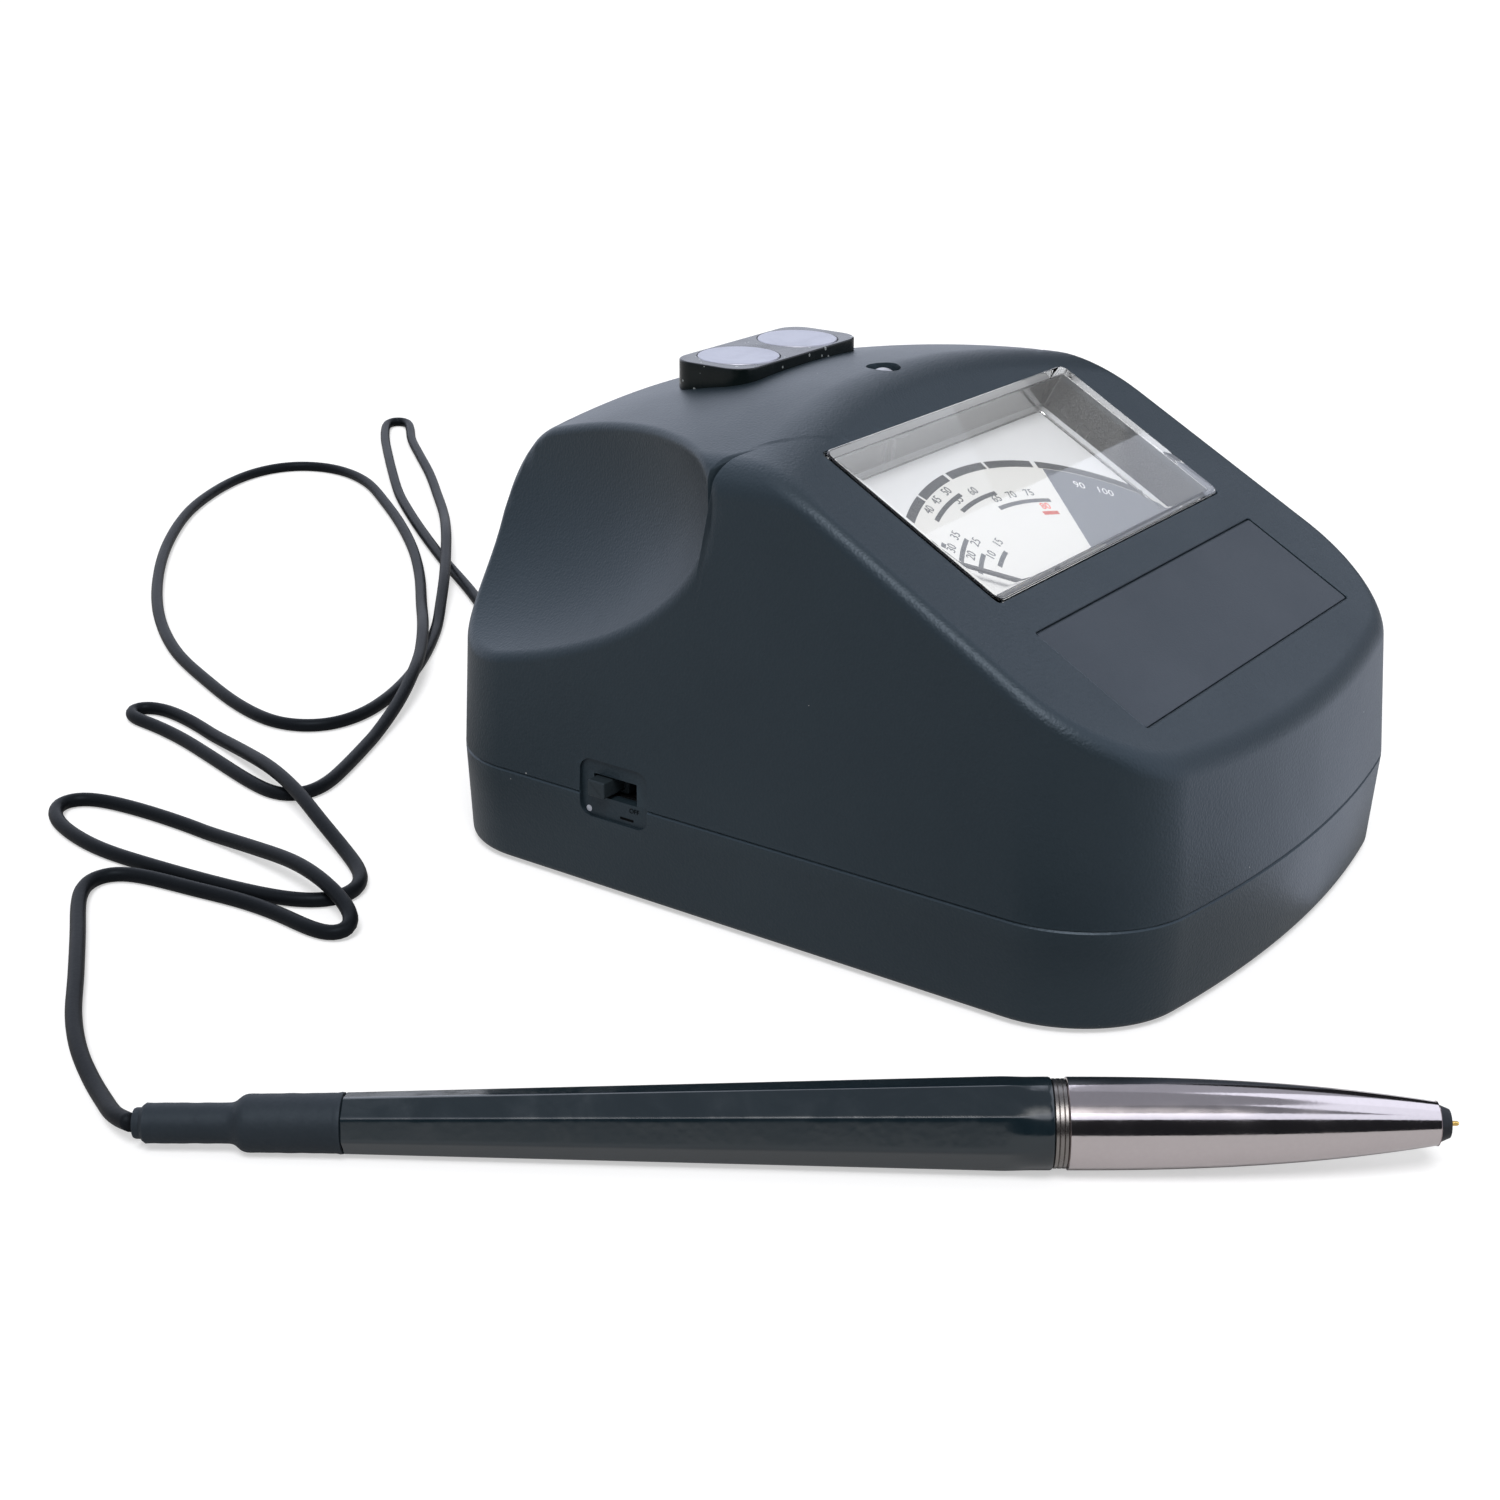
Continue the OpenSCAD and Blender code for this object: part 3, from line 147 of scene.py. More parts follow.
# Frames of the tilted panel and of the pen

def on_panel(points):
    """Panel points (x, s up the slope, n out of it) to the part's frame, by the slope's own axes."""
    c, s = math.cos(PANEL_TILT), math.sin(PANEL_TILT)
    axes = np.array([[1, 0, 0], [0, c, s], [0, -s, c]])
    return np.asarray(points) @ axes + (0, WINDOW_Y, PANEL_Z)


def on_pen(points):
    """Pen points (station, sideways, upwards) to the part's frame: the pen's own axes from its tail."""
    cy, sy, cp, sp = math.cos(PEN_YAW), math.sin(PEN_YAW), math.cos(PEN_PITCH), math.sin(PEN_PITCH)
    axes = np.array([[cp * cy, cp * sy, sp], [-sy, cy, 0], [-sp * cy, -sp * sy, cp]])
    return np.asarray(points) @ axes + PEN_TAIL


# Meshes from grids of points

def loft_faces(rows, cols, first, ring):
    """Quads between neighbouring loops of points; flat end caps, or a ring from last to first."""
    index = first + np.arange(rows * cols).reshape(rows, cols)
    loops = np.vstack([index, index[:1]]) if ring else index
    here, along = loops[:-1], loops[1:]
    quads = np.stack([here, np.roll(here, -1, 1), np.roll(along, -1, 1), along], -1)
    caps = [] if ring else [index[0, ::-1].tolist(), index[-1].tolist()]
    return quads.reshape(-1, 4).tolist() + caps


def loft(name, *grids, ring=False):
    """One object of closed shapes. Each grid holds loops of points in mm, in order along the shape."""
    points, faces, first = [], [], 0
    for grid in grids:
        rows, cols = grid.shape[:2]
        faces += loft_faces(rows, cols, first, ring)
        points.append(grid.reshape(-1, 3) * MM)
        first += rows * cols
    mesh = bpy.data.meshes.new(name)
    mesh.from_pydata(np.concatenate(points).tolist(), [], faces)
    mesh.validate()
    made = bpy.data.objects.new(name, mesh)
    bpy.context.scene.collection.objects.link(made)
    return made


def round_rect(width, length, radius, steps=8):
    """Rounded rectangle, counter-clockwise: four quarter arcs about the corners' centres."""
    turn = np.arange(4)[:, None] * np.pi / 2 + np.linspace(0, np.pi / 2, steps + 1)
    x = np.array([1, -1, -1, 1])[:, None] * (width / 2 - radius) + radius * np.cos(turn)
    y = np.array([1, 1, -1, -1])[:, None] * (length / 2 - radius) + radius * np.sin(turn)
    return np.stack([x, y], -1).reshape(-1, 2)


def rect_rows(width, length, radius, rows, centre=(0, 0)):
    """Stack of rounded rectangles: each row draws the outline in by its inset and lifts it to its height."""
    loops = [round_rect(width - 2 * i, length - 2 * i, max(radius - i, 0.05)) + centre for i, _ in rows]
    heights = np.array([h for _, h in rows])[:, None, None]
    loops = np.array(loops)
    return np.concatenate([loops, np.broadcast_to(heights, loops.shape[:2] + (1,))], -1)


def soft_rows(low, high, low_edge, high_edge, steps=5, flat=0.12):
    """Insets and heights up a slab: quarter rounds at both edges, with a flat margin at each end."""
    t = np.linspace(0, np.pi / 2, steps + 1)
    below = np.stack([low_edge * (1 - np.sin(t)), low + low_edge * (1 - np.cos(t))], -1)
    above = np.stack([high_edge * (1 - np.cos(t)), high - high_edge * (1 - np.sin(t))], -1)
    ends = [(low_edge + flat, low)], [(high_edge + flat, high)]
    return np.concatenate([ends[0], below, above, ends[1]])


def straight(low, high, flare=0.0, rim=None, steps=4):
    """Insets and heights of a cutter from low to high that flares by a quarter round where it meets rim."""
    if not flare:
        return np.array([(0, low), (0, high)])
    t = np.linspace(0, np.pi / 2, steps + 1)
    arc = np.stack([-flare * (1 - np.cos(t)), rim - flare * (1 - np.sin(t))], -1)
    return np.concatenate([[(0, low)], arc, [(-flare, high)]])


def revolve(profile, turns=72):
    """Surface of revolution about the upright axis: each (radius, height) of the profile becomes a circle."""
    a = np.linspace(0, 2 * np.pi, turns, endpoint=False)
    r, h = np.asarray(profile, float).T[:, :, None]
    return np.stack([r * np.cos(a), r * np.sin(a), np.broadcast_to(h, (len(r), turns))], -1)


def pillar(x, y, low, high, radius):
    """Upright cylinder as a two-row grid."""
    return revolve([(radius, low), (radius, high)], 48) + (x, y, 0)


def spin_on_pen(profile, turns=96):
    """Surface of revolution about the pen: each (station, radius) of the profile becomes a circle."""
    a = np.linspace(0, 2 * np.pi, turns, endpoint=False)
    h, r = np.asarray(profile, float).T[:, :, None]
    return on_pen(np.stack([np.broadcast_to(h, (len(h), turns)), r * np.cos(a), r * np.sin(a)], -1))


def boolean(body, tool, operation):
    """Adds or cuts the tool's solids, and keeps only the result in the body's mesh."""
    modifier = body.modifiers.new("work", "BOOLEAN")
    modifier.operation = operation
    modifier.solver = "EXACT"
    modifier.object = tool
    shaped = body.evaluated_get(bpy.context.evaluated_depsgraph_get())
    old, body.data = body.data, bpy.data.meshes.new_from_object(shaped)
    body.modifiers.clear()
    body.data.name = body.name
    bpy.data.meshes.remove(old)
    bpy.data.meshes.remove(tool.data)


def finish_piece(piece, body, slot, material, *nodes, sharp=35.0):
    """Smooth faces up to a sharp angle, then the material, the body it rides on and what it stands for."""
    piece.data.shade_smooth()
    piece.data.set_sharp_from_angle(angle=math.radians(sharp))
    piece.data.materials.clear()
    piece.data.materials.append(material)
    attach(piece, body)
    if nodes:
        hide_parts(*nodes)
    return piece


# The mouldings' faces, as signed distances that are negative inside

def meet(a, b, r):
    """Convex rounded meeting of two faces: the larger distance, rolled off by r where both are near."""
    return np.minimum(-r, np.maximum(a, b)) + np.hypot(np.maximum(r + a, 0), np.maximum(r + b, 0))


def outline_face(p):
    """Walls: two drafted sides, a bowed front and a rear, met by the upright corner radius."""
    x, y, z = np.moveaxis(p, -1, 0)
    lift = np.abs(z - PARTING_Z)
    front_lean = np.where(z >= PARTING_Z, FRONT_DRAFT, SIDE_DRAFT)
    side = (np.abs(x) - CASE_W / 2 + lift * np.tan(SIDE_DRAFT)) * np.cos(SIDE_DRAFT)
    front = (x * x / (2 * FRONT_BOW_R) - CASE_L / 2 - y + lift * np.tan(front_lean)) * np.cos(front_lean)
    rear = y - CASE_L / 2 + lift * np.tan(REAR_DRAFT)
    return meet(meet(side, front, CORNER_R), rear, CORNER_R)


def roof_face(p):
    """Roof: a shallow dome of two radii."""
    x, y, z = np.moveaxis(p, -1, 0)
    dy, dx = (y - CREST_Y) / ROOF_LEN_R, x / ROOF_CROSS_R
    roof = z - CASE_H + ROOF_LEN_R * dy * dy / 2 + ROOF_CROSS_R * dx * dx / 2
    return roof / np.sqrt(1 + dx * dx + dy * dy)


def panel_face(p):
    """Tilted front panel: a plane through the window's front edge."""
    return (p[..., 2] - PANEL_Z) * math.cos(PANEL_TILT) - (p[..., 1] - WINDOW_Y) * math.sin(PANEL_TILT)


def scoop_face(p):
    """Side scoop: the inside of an ellipsoid, centred out beyond the rear corner, is taken away."""
    from_bowl = (np.abs(p * (1, 0, 0)) + p * (0, 1, 1) - BOWL_AT) / BOWL_SIZE
    k = np.linalg.norm(from_bowl, axis=-1)
    return k * (1 - k) / np.linalg.norm(from_bowl / BOWL_SIZE, axis=-1)


def top_face(p):
    """Roof and panel together, without a rounding."""
    return np.maximum(roof_face(p), panel_face(p))


def upper_face(p):
    """Whole upper moulding: walls met by the roof, the panel and the scoops, each with its own rounding."""
    to_rear = np.clip(3 * p[..., 1] / CASE_L - 0.5, 0, 1)
    roof_round = ROOF_EDGE_R + (REAR_EDGE_R - ROOF_EDGE_R) * to_rear
    body = meet(meet(outline_face(p), roof_face(p), roof_round), panel_face(p), EDGE_R)
    return meet(body, scoop_face(p), RIM_R)


def bisect(outside, low, high, shape, rounds=34):
    """Largest value between low and high at which outside is still false, for a whole array at once."""
    low, high = np.zeros(shape) + low, np.zeros(shape) + high
    for _ in range(rounds):
        middle = (low + high) / 2
        out = outside(middle)
        low, high = np.where(out, low, middle), np.where(out, middle, high)
    return (low + high) / 2


def compass(corner_steps, side_steps):
    """Places round the case, counter-clockwise: arcs at the corners and even steps along the sides."""
    turn = np.arange(4)[:, None] * np.pi / 2 - np.pi / 2 + np.linspace(0, np.pi / 2, corner_steps + 1)
    x = np.array([1, 1, -1, -1])[:, None] * (CASE_W / 2 - CORNER_R) + CORNER_R * np.cos(turn)
    y = np.array([-1, 1, 1, -1])[:, None] * (CASE_L / 2 - CORNER_R) + CORNER_R * np.sin(turn)
    corner = np.stack([x, y], -1)
    along = np.linspace(0, 1, side_steps + 1)[1:-1, None]
    side = corner[:, -1:] * (1 - along) + np.roll(corner, -1, 0)[:, :1] * along
    return np.concatenate([corner, side], 1).reshape(-1, 2)


def level_loop(around, z, inset):
    """Outline of the case at one height, drawn in by an inset: one ray from the middle for each place."""
    def place(reach):
        flat = MIDDLE[:2] + toward(around) * reach[:, None]
        return np.column_stack([flat, np.full(len(flat), z)])
    reach = bisect(lambda r: outline_face(place(r)) + inset > 0, 5, 140, len(around))
    return place(reach)


def toward(around):
    """Unit directions from the middle to the places round the case."""
    way = around - MIDDLE[:2]
    return way / np.linalg.norm(way, axis=-1, keepdims=True)


def rays(around, angle):
    """Directions from the middle towards each place round the case, raised by an angle."""
    way = toward(around)
    flat = way * np.cos(angle)[..., None]
    return np.concatenate([flat, np.broadcast_to(np.sin(angle)[..., None], flat.shape[:-1] + (1,))], -1)


def hit(way, face):
    """Points where rays from the middle reach a face."""
    reach = bisect(lambda r: face(MIDDLE + way * r[..., None]) > 0, 5, 150, way.shape[:-1])
    return MIDDLE + way * reach[..., None]


def rims(around):
    """For each place round the case, the angles at which its wall ends and the roof or panel begins."""
    def past_wall(angle):
        p = hit(rays(around, angle), outline_face)
        return np.maximum(top_face(p), scoop_face(p)) > 0

    def past_scoop(angle):
        return scoop_face(hit(rays(around, angle), top_face)) <= 0

    wall = bisect(past_wall, math.radians(3), math.radians(84), len(around), 18)
    scoop = bisect(past_scoop, wall, math.radians(88), len(around), 18)
    return wall, np.maximum(scoop, wall + math.radians(3))


def skin(around, inset, rows):
    """Moulded skin at a depth below the outer face. Rays from the middle rise in rows that gather at the
    wall's rim and at the roof's rim, and each is bisected to the face."""
    wall, roof = rims(around)
    low, mid, high = (np.linspace(0, 1, n, endpoint=False)[:, None] for n in rows)
    low = wall * (1 - (1 - low) ** 1.5)
    mid = wall + (roof - wall) * (1 - np.cos(np.pi * mid)) / 2
    high = roof + (np.pi / 2 - roof) * high**1.5
    way = rays(around, np.concatenate([low, mid, high]))
    return hit(way, lambda p: upper_face(p) + inset)


def true_normals(piece, face):
    """Corner normals of faces that lie on a surface, from the slope of its distance; others keep theirs."""
    mesh = piece.data
    spots = np.empty(len(mesh.vertices) * 3, np.float32)
    mesh.vertices.foreach_get("co", spots)
    spots = spots.reshape(-1, 3) / MM
    step = 0.01 * np.eye(3)
    slope = np.stack([face(spots + d) - face(spots - d) for d in step], -1)
    slope = slope / np.linalg.norm(slope, axis=1, keepdims=True)
    slope[np.abs(face(spots)) > 0.01] = 0
    corner = np.empty(len(mesh.loops), np.int32)
    mesh.loops.foreach_get("vertex_index", corner)
    sides = np.empty(len(mesh.polygons), np.int32)
    mesh.polygons.foreach_get("loop_total", sides)
    facing = np.empty(len(mesh.polygons) * 3, np.float32)
    mesh.polygons.foreach_get("normal", facing)
    facing = np.repeat(facing.reshape(-1, 3), sides, 0)
    normal = slope[corner]
    normal[(normal * facing).sum(1) < 0.7] = 0
    mesh.normals_split_custom_set(normal.tolist())


# Shared effects as node groups

def add(tree, kind, inputs, **settings):
    """New shader node: settings are its own properties, inputs are socket values or sockets to link from."""
    node = tree.nodes.new("ShaderNode" + kind)
    for key, value in settings.items():
        setattr(node, key, value)
    for key, value in inputs.items():
        if isinstance(value, bpy.types.NodeSocket):
            tree.links.new(value, node.inputs[key])
        else:
            node.inputs[key].default_value = value
    return node


def new_group(name, inputs, outputs):
    """Empty node group with a Point vector and numbers in and out; returns its tree and end sockets."""
    tree = bpy.data.node_groups.new(name, "ShaderNodeTree")
    tree.interface.new_socket("Point", in_out="INPUT", socket_type="NodeSocketVector")
    for label, value in inputs.items():
        socket = tree.interface.new_socket(label, in_out="INPUT", socket_type="NodeSocketFloat")
        socket.default_value = value
    for label in outputs:
        tree.interface.new_socket(label, in_out="OUTPUT", socket_type="NodeSocketFloat")
    entry = tree.nodes.new("NodeGroupInput")
    leave = tree.nodes.new("NodeGroupOutput")
    return tree, entry.outputs, leave.inputs


def grain_group():
    """Spark-eroded moulding grain: fine noise over rounded cells gives Height, slow noise gives Tone."""
    tree, given, out = new_group("moulding_grain", {"Scale": 2400.0}, ["Height", "Tone"])
    fine = add(tree, "TexNoise", {"Vector": given["Point"], "Scale": given["Scale"], "Detail": 3.0})
    cells = add(tree, "TexVoronoi", {"Vector": given["Point"], "Scale": given["Scale"], "Smoothness": 0.6},
                feature="SMOOTH_F1")
    both = add(tree, "Math", {0: fine.outputs[0], 1: cells.outputs["Distance"]}, operation="ADD")
    slow = add(tree, "TexNoise", {"Vector": given["Point"], "Scale": 55.0, "Detail": 4.0, "Roughness": 0.6})
    speck = add(tree, "Math", {0: fine.outputs[0], 1: 0.6, 2: -0.3}, operation="MULTIPLY_ADD")
    tone = add(tree, "Math", {0: slow.outputs[0], 1: speck.outputs[0]}, operation="ADD", use_clamp=True)
    tree.links.new(both.outputs[0], out["Height"])
    tree.links.new(tone.outputs[0], out["Tone"])
    return tree


def dust_group():
    """Sparse dust: a small round core in those few Voronoi cells whose random value passes the amount."""
    tree, given, out = new_group("settled_dust", {"Scale": 900.0, "Amount": 0.02, "Size": 0.12}, ["Mask"])
    cells = add(tree, "TexVoronoi", {"Vector": given["Point"], "Scale": given["Scale"]})
    pick = add(tree, "SeparateColor", {"Color": cells.outputs["Color"]})
    chosen = add(tree, "Math", {0: pick.outputs[0], 1: given["Amount"]}, operation="LESS_THAN")
    size = add(tree, "Math", {0: pick.outputs[1], 1: given["Size"]}, operation="MULTIPLY")
    core = add(tree, "Math", {0: cells.outputs["Distance"], 1: size.outputs[0]}, operation="LESS_THAN")
    mask = add(tree, "Math", {0: chosen.outputs[0], 1: core.outputs[0]}, operation="MULTIPLY")
    tree.links.new(mask.outputs[0], out["Mask"])
    return tree


def smudge_group():
    """Handling marks: slow warped noise, stretched to soft patches between 0 and 1."""
    tree, given, out = new_group("handling_smudge", {"Scale": 60.0, "Low": 0.45, "High": 0.7}, ["Mask"])
    noise = add(tree, "TexNoise", {"Vector": given["Point"], "Scale": given["Scale"], "Detail": 6.0,
                                   "Roughness": 0.65, "Distortion": 0.8})
    mask = add(tree, "MapRange", {"Value": noise.outputs[0], "From Min": given["Low"],
                                  "From Max": given["High"]})
    tree.links.new(mask.outputs[0], out["Mask"])
    return tree


def edge_highlight_group():
    """Painted highlight on edges: a mask where the surface is sharply convex, broken up by noise, that
    lightens the colour there.
    """
    tree, given, out = new_group("painted_edge_highlight", {"Low": 0.52, "High": 0.6}, ["Mask"])
    bend = tree.nodes.new("ShaderNodeNewGeometry").outputs["Pointiness"]
    edge = add(tree, "MapRange", {"Value": bend, "From Min": given["Low"], "From Max": given["High"]})
    noise = add(tree, "TexNoise", {"Vector": given["Point"], "Scale": 380.0, "Detail": 4.0})
    mask = add(tree, "Math", {0: edge.outputs[0], 1: noise.outputs[0]}, operation="MULTIPLY")
    tree.links.new(mask.outputs[0], out["Mask"])
    return tree


GRAIN, DUST, SMUDGE, EDGE_HIGHLIGHT = grain_group(), dust_group(), smudge_group(), edge_highlight_group()


# Materials

def new_material(name, **sockets):
    """Principled material with those socket values, its tree, its shader and its Object coordinates."""
    material = bpy.data.materials.new(name)
    material.use_nodes = True
    tree = material.node_tree
    shader = tree.nodes["Principled BSDF"]
    for key, value in sockets.items():
        shader.inputs[key.replace("_", " ")].default_value = value
    point = tree.nodes.new("ShaderNodeTexCoord").outputs["Object"]
    return material, tree, shader, point


def effect(tree, group, point, **values):
    """Places a shared effect in a material with its own values."""
    node = tree.nodes.new("ShaderNodeGroup")
    node.node_tree = group
    tree.links.new(point, node.inputs["Point"])
    for key, value in values.items():
        node.inputs[key].default_value = value
    return node.outputs


def blend_colour(tree, mask, low, high):
    """Colour that goes from low to high with a mask; either end is a colour or a socket."""
    node = add(tree, "Mix", {"Factor": mask}, data_type="RGBA")
    ends = [s for s in node.inputs if s.type == "RGBA"]
    for socket, value in zip(ends, (low, high)):
        if isinstance(value, bpy.types.NodeSocket):
            tree.links.new(value, socket)
        else:
            socket.default_value = (*value, 1)
    return next(s for s in node.outputs if s.type == "RGBA")


def span(tree, mask, low, high):
    """Number that goes from low to high with a mask."""
    return add(tree, "MapRange", {"Value": mask, "To Min": low, "To Max": high}).outputs[0]


def bump(tree, shader, height, depth, strength=1.0):
    """Relief of a height mask, depth in mm."""
    node = add(tree, "Bump", {"Height": height, "Distance": depth * MM, "Strength": strength})
    tree.links.new(node.outputs[0], shader.inputs["Normal"])


def moulded(name, dark, light, rough, grain_scale=2400.0, grain_depth=0.03, dust=0.02,
            sheen=(1, 1, 1), shine=0.5):
    """Textured moulded plastic: grain, slow tone, a painted highlight that lightens convex edges, a little
    dust, and its own tint of sheen.
    """
    material, tree, shader, point = new_material(name, Specular_Tint=(*sheen, 1), Specular_IOR_Level=shine)
    grain = effect(tree, GRAIN, point, Scale=grain_scale)
    edge_lit = effect(tree, EDGE_HIGHLIGHT, point)
    specks = effect(tree, DUST, point, Amount=dust)
    tone = blend_colour(tree, grain["Tone"], dark, light)
    # painted highlight: convex edges lightened to half again the light tone
    highlighted = blend_colour(tree, edge_lit["Mask"], tone, tuple(1.5 * c for c in light))
    dusty = blend_colour(tree, specks["Mask"], highlighted, (0.3, 0.3, 0.3))
    tree.links.new(dusty, shader.inputs["Base Color"])
    tree.links.new(span(tree, grain["Tone"], rough + 0.05, rough - 0.05), shader.inputs["Roughness"])
    bump(tree, shader, grain["Height"], grain_depth)
    return material


def gloss(name, dark, light, rough, shine, dust):
    """Polished dark plastic with handling smudges that dull the shine, and a little dust."""
    material, tree, shader, point = new_material(name, Specular_IOR_Level=shine)
    marks = effect(tree, SMUDGE, point, Scale=90.0)
    specks = effect(tree, DUST, point, Amount=dust, Scale=900.0)
    tone = blend_colour(tree, marks["Mask"], dark, light)
    dusty = blend_colour(tree, specks["Mask"], tone, (0.35, 0.35, 0.35))
    tree.links.new(dusty, shader.inputs["Base Color"])
    tree.links.new(span(tree, marks["Mask"], rough, rough + 0.14), shader.inputs["Roughness"])
    grain = effect(tree, GRAIN, point, Scale=900.0)
    bump(tree, shader, grain["Height"], 0.004)
    return material


def dusty_block():
    """Polished block: black sides with flecks of dust, and a top face coloured a lighter grey than the sides.
    """
    material, tree, shader, point = new_material("block_gloss", Specular_IOR_Level=0.22)
    height = add(tree, "SeparateXYZ", {"Vector": point}).outputs["Z"]
    top = add(tree, "MapRange", {"Value": height, "From Min": (BLOCK_Z - 0.12) * MM,
                                 "From Max": (BLOCK_Z - 0.04) * MM})
    marks = effect(tree, SMUDGE, point, Scale=90.0)
    black = blend_colour(tree, marks["Mask"], (0.003, 0.006, 0.006), (0.006, 0.010, 0.010))
    top_grey = blend_colour(tree, marks["Mask"], (0.020, 0.021, 0.026), (0.030, 0.031, 0.038))
    # the top face is coloured a lighter grey than the black sides
    tone = blend_colour(tree, top.outputs[0], black, top_grey)
    flecks = effect(tree, DUST, point, Amount=0.2, Scale=1100.0, Size=0.34)
    tree.links.new(blend_colour(tree, flecks["Mask"], tone, (0.30, 0.33, 0.34)), shader.inputs["Base Color"])
    tree.links.new(span(tree, marks["Mask"], 0.2, 0.34), shader.inputs["Roughness"])
    return material


def metal(name, dark, light, rough, spread=0.1, stretch=(1, 1, 1)):
    """Metal with slow tarnish and fine drawn lines along its longest stretch."""
    material, tree, shader, point = new_material(name, Metallic=1.0)
    lines = add(tree, "Mapping", {"Vector": point, "Scale": stretch})
    marks = effect(tree, SMUDGE, point, Scale=120.0)
    grain = effect(tree, GRAIN, lines.outputs[0], Scale=1800.0)
    tree.links.new(blend_colour(tree, grain["Tone"], dark, light), shader.inputs["Base Color"])
    tree.links.new(span(tree, marks["Mask"], rough, rough + spread), shader.inputs["Roughness"])
    bump(tree, shader, grain["Height"], 0.002)
    return material


def clear(name, tint, rough, cloud=0.0):
    """Clear moulded plastic: glass to sight and gloss, open to light for what lies behind it."""
    material, tree, shader, point = new_material(name, Transmission_Weight=1.0 - cloud, IOR=1.49)
    shader.inputs["Base Color"].default_value = (*tint, 1)
    marks = effect(tree, SMUDGE, point, Scale=140.0)
    tree.links.new(span(tree, marks["Mask"], rough, rough + 0.03), shader.inputs["Roughness"])
    path = tree.nodes.new("ShaderNodeLightPath").outputs
    lamp = add(tree, "Math", {0: path["Is Shadow Ray"], 1: path["Is Diffuse Ray"]}, operation="MAXIMUM")
    open_way = add(tree, "BsdfTransparent", {"Color": (*tint, 1)})
    mixed = add(tree, "MixShader", {0: lamp.outputs[0], 1: shader.outputs[0], 2: open_way.outputs[0]})
    tree.links.new(mixed.outputs[0], tree.nodes["Material Output"].inputs["Surface"])
    return material


def printed_plate():
    """Painted dial: cream inside the scale's arc and white outside it, with a faint print grain."""
    material, tree, shader, point = new_material("dial_paint", Roughness=0.5)
    arc_y, arc_z = on_panel((0, ARC_S, -DIAL_DEPTH))[1:] * MM
    away = add(tree, "VectorMath", {0: point, 1: (0, arc_y, arc_z)}, operation="DISTANCE")
    inside = add(tree, "MapRange", {"Value": away.outputs["Value"], "From Min": (ARC_R + 0.05) * MM,
                                    "From Max": (ARC_R - 0.05) * MM})
    grain = effect(tree, GRAIN, point, Scale=1500.0)
    paper = blend_colour(tree, grain["Tone"], (0.92, 0.92, 0.93), (0.96, 0.96, 0.97))
    cream = blend_colour(tree, grain["Tone"], (0.90, 0.885, 0.855), (0.94, 0.925, 0.895))
    tree.links.new(blend_colour(tree, inside.outputs[0], paper, cream), shader.inputs["Base Color"])
    bump(tree, shader, grain["Height"], 0.003)
    return material


COOL = (0.74, 0.86, 1.0)
CASE = moulded("case_moulding", (0.008, 0.015, 0.020), (0.012, 0.021, 0.027), 0.44, dust=0.008, sheen=COOL)
DOOR = moulded("door_moulding", (0.009, 0.014, 0.019), (0.014, 0.020, 0.026), 0.5, sheen=COOL)
RUBBER = moulded("soft_rubber", (0.010, 0.014, 0.018), (0.017, 0.022, 0.027), 0.6, 1800.0, 0.02,
                 sheen=COOL, shine=0.3)
CORD_SKIN = moulded("cord_jacket", (0.004, 0.005, 0.006), (0.007, 0.008, 0.010), 0.45, 1600.0, 0.008, 0.0,
                    sheen=COOL, shine=0.08)
LABEL_SKIN = moulded("label_satin", (0.012, 0.017, 0.023), (0.017, 0.022, 0.029), 0.4, 3200.0, 0.01, 0.004,
                     sheen=COOL)
KNOB_SKIN = moulded("knob_moulding", (0.012, 0.018, 0.021), (0.018, 0.024, 0.028), 0.5, 2600.0, 0.02, 0.0,
                    sheen=COOL, shine=0.3)
CHIP_SKIN = moulded("inner_moulding", (0.016, 0.016, 0.018), (0.024, 0.024, 0.027), 0.5)
NOSE_SKIN = moulded("nose_moulding", (0.008, 0.008, 0.009), (0.014, 0.014, 0.016), 0.4, 2600.0, 0.01, 0.0,
                    sheen=COOL, shine=0.25)
BOARD_SKIN = moulded("board_mask", (0.02, 0.09, 0.04), (0.03, 0.13, 0.06), 0.35, 900.0, 0.01, 0.0)
CELL_SKIN = moulded("cell_wrap", (0.42, 0.22, 0.06), (0.5, 0.28, 0.08), 0.3, 700.0, 0.004, 0.0)
NEEDLE_SKIN = moulded("needle_paint", (0.012, 0.012, 0.014), (0.02, 0.02, 0.022), 0.35, 2600.0, 0.004, 0.0)
PRINT_DARK = moulded("print_dark", (0.055, 0.06, 0.07), (0.075, 0.08, 0.09), 0.5, 2600.0, 0.002, 0.0)
PRINT_GREY = moulded("print_grey", (0.15, 0.165, 0.20), (0.18, 0.195, 0.23), 0.5, 2600.0, 0.002, 0.0)
PRINT_RED = moulded("print_red", (0.62, 0.07, 0.04), (0.72, 0.10, 0.06), 0.5, 2600.0, 0.002, 0.0)
PRINT_BLACK = moulded("print_black", (0.001, 0.001, 0.001), (0.002, 0.002, 0.002), 0.6, 2600.0, 0.002, 0.0,
                      sheen=COOL, shine=0.05)
PRINT_PALE = moulded("print_pale", (0.34, 0.36, 0.42), (0.42, 0.44, 0.50), 0.5, 2600.0, 0.002, 0.0)
PRINT_WHITE = moulded("print_white", (0.74, 0.74, 0.74), (0.82, 0.82, 0.82), 0.5, 2600.0, 0.002, 0.0)
BARREL_SKIN = gloss("barrel_gloss", (0.006, 0.013, 0.018), (0.010, 0.018, 0.024), 0.1, 0.75, 0.004)
BLOCK_SKIN = dusty_block()
DISC_SKIN = metal("disc_satin", (0.345, 0.345, 0.385), (0.39, 0.39, 0.43), 0.4)
NICKEL = metal("polished_nickel", (0.60, 0.54, 0.54), (0.67, 0.61, 0.61), 0.08, 0.06)
RING_METAL = metal("ferrule_nickel", (0.24, 0.22, 0.21), (0.32, 0.30, 0.28), 0.25)
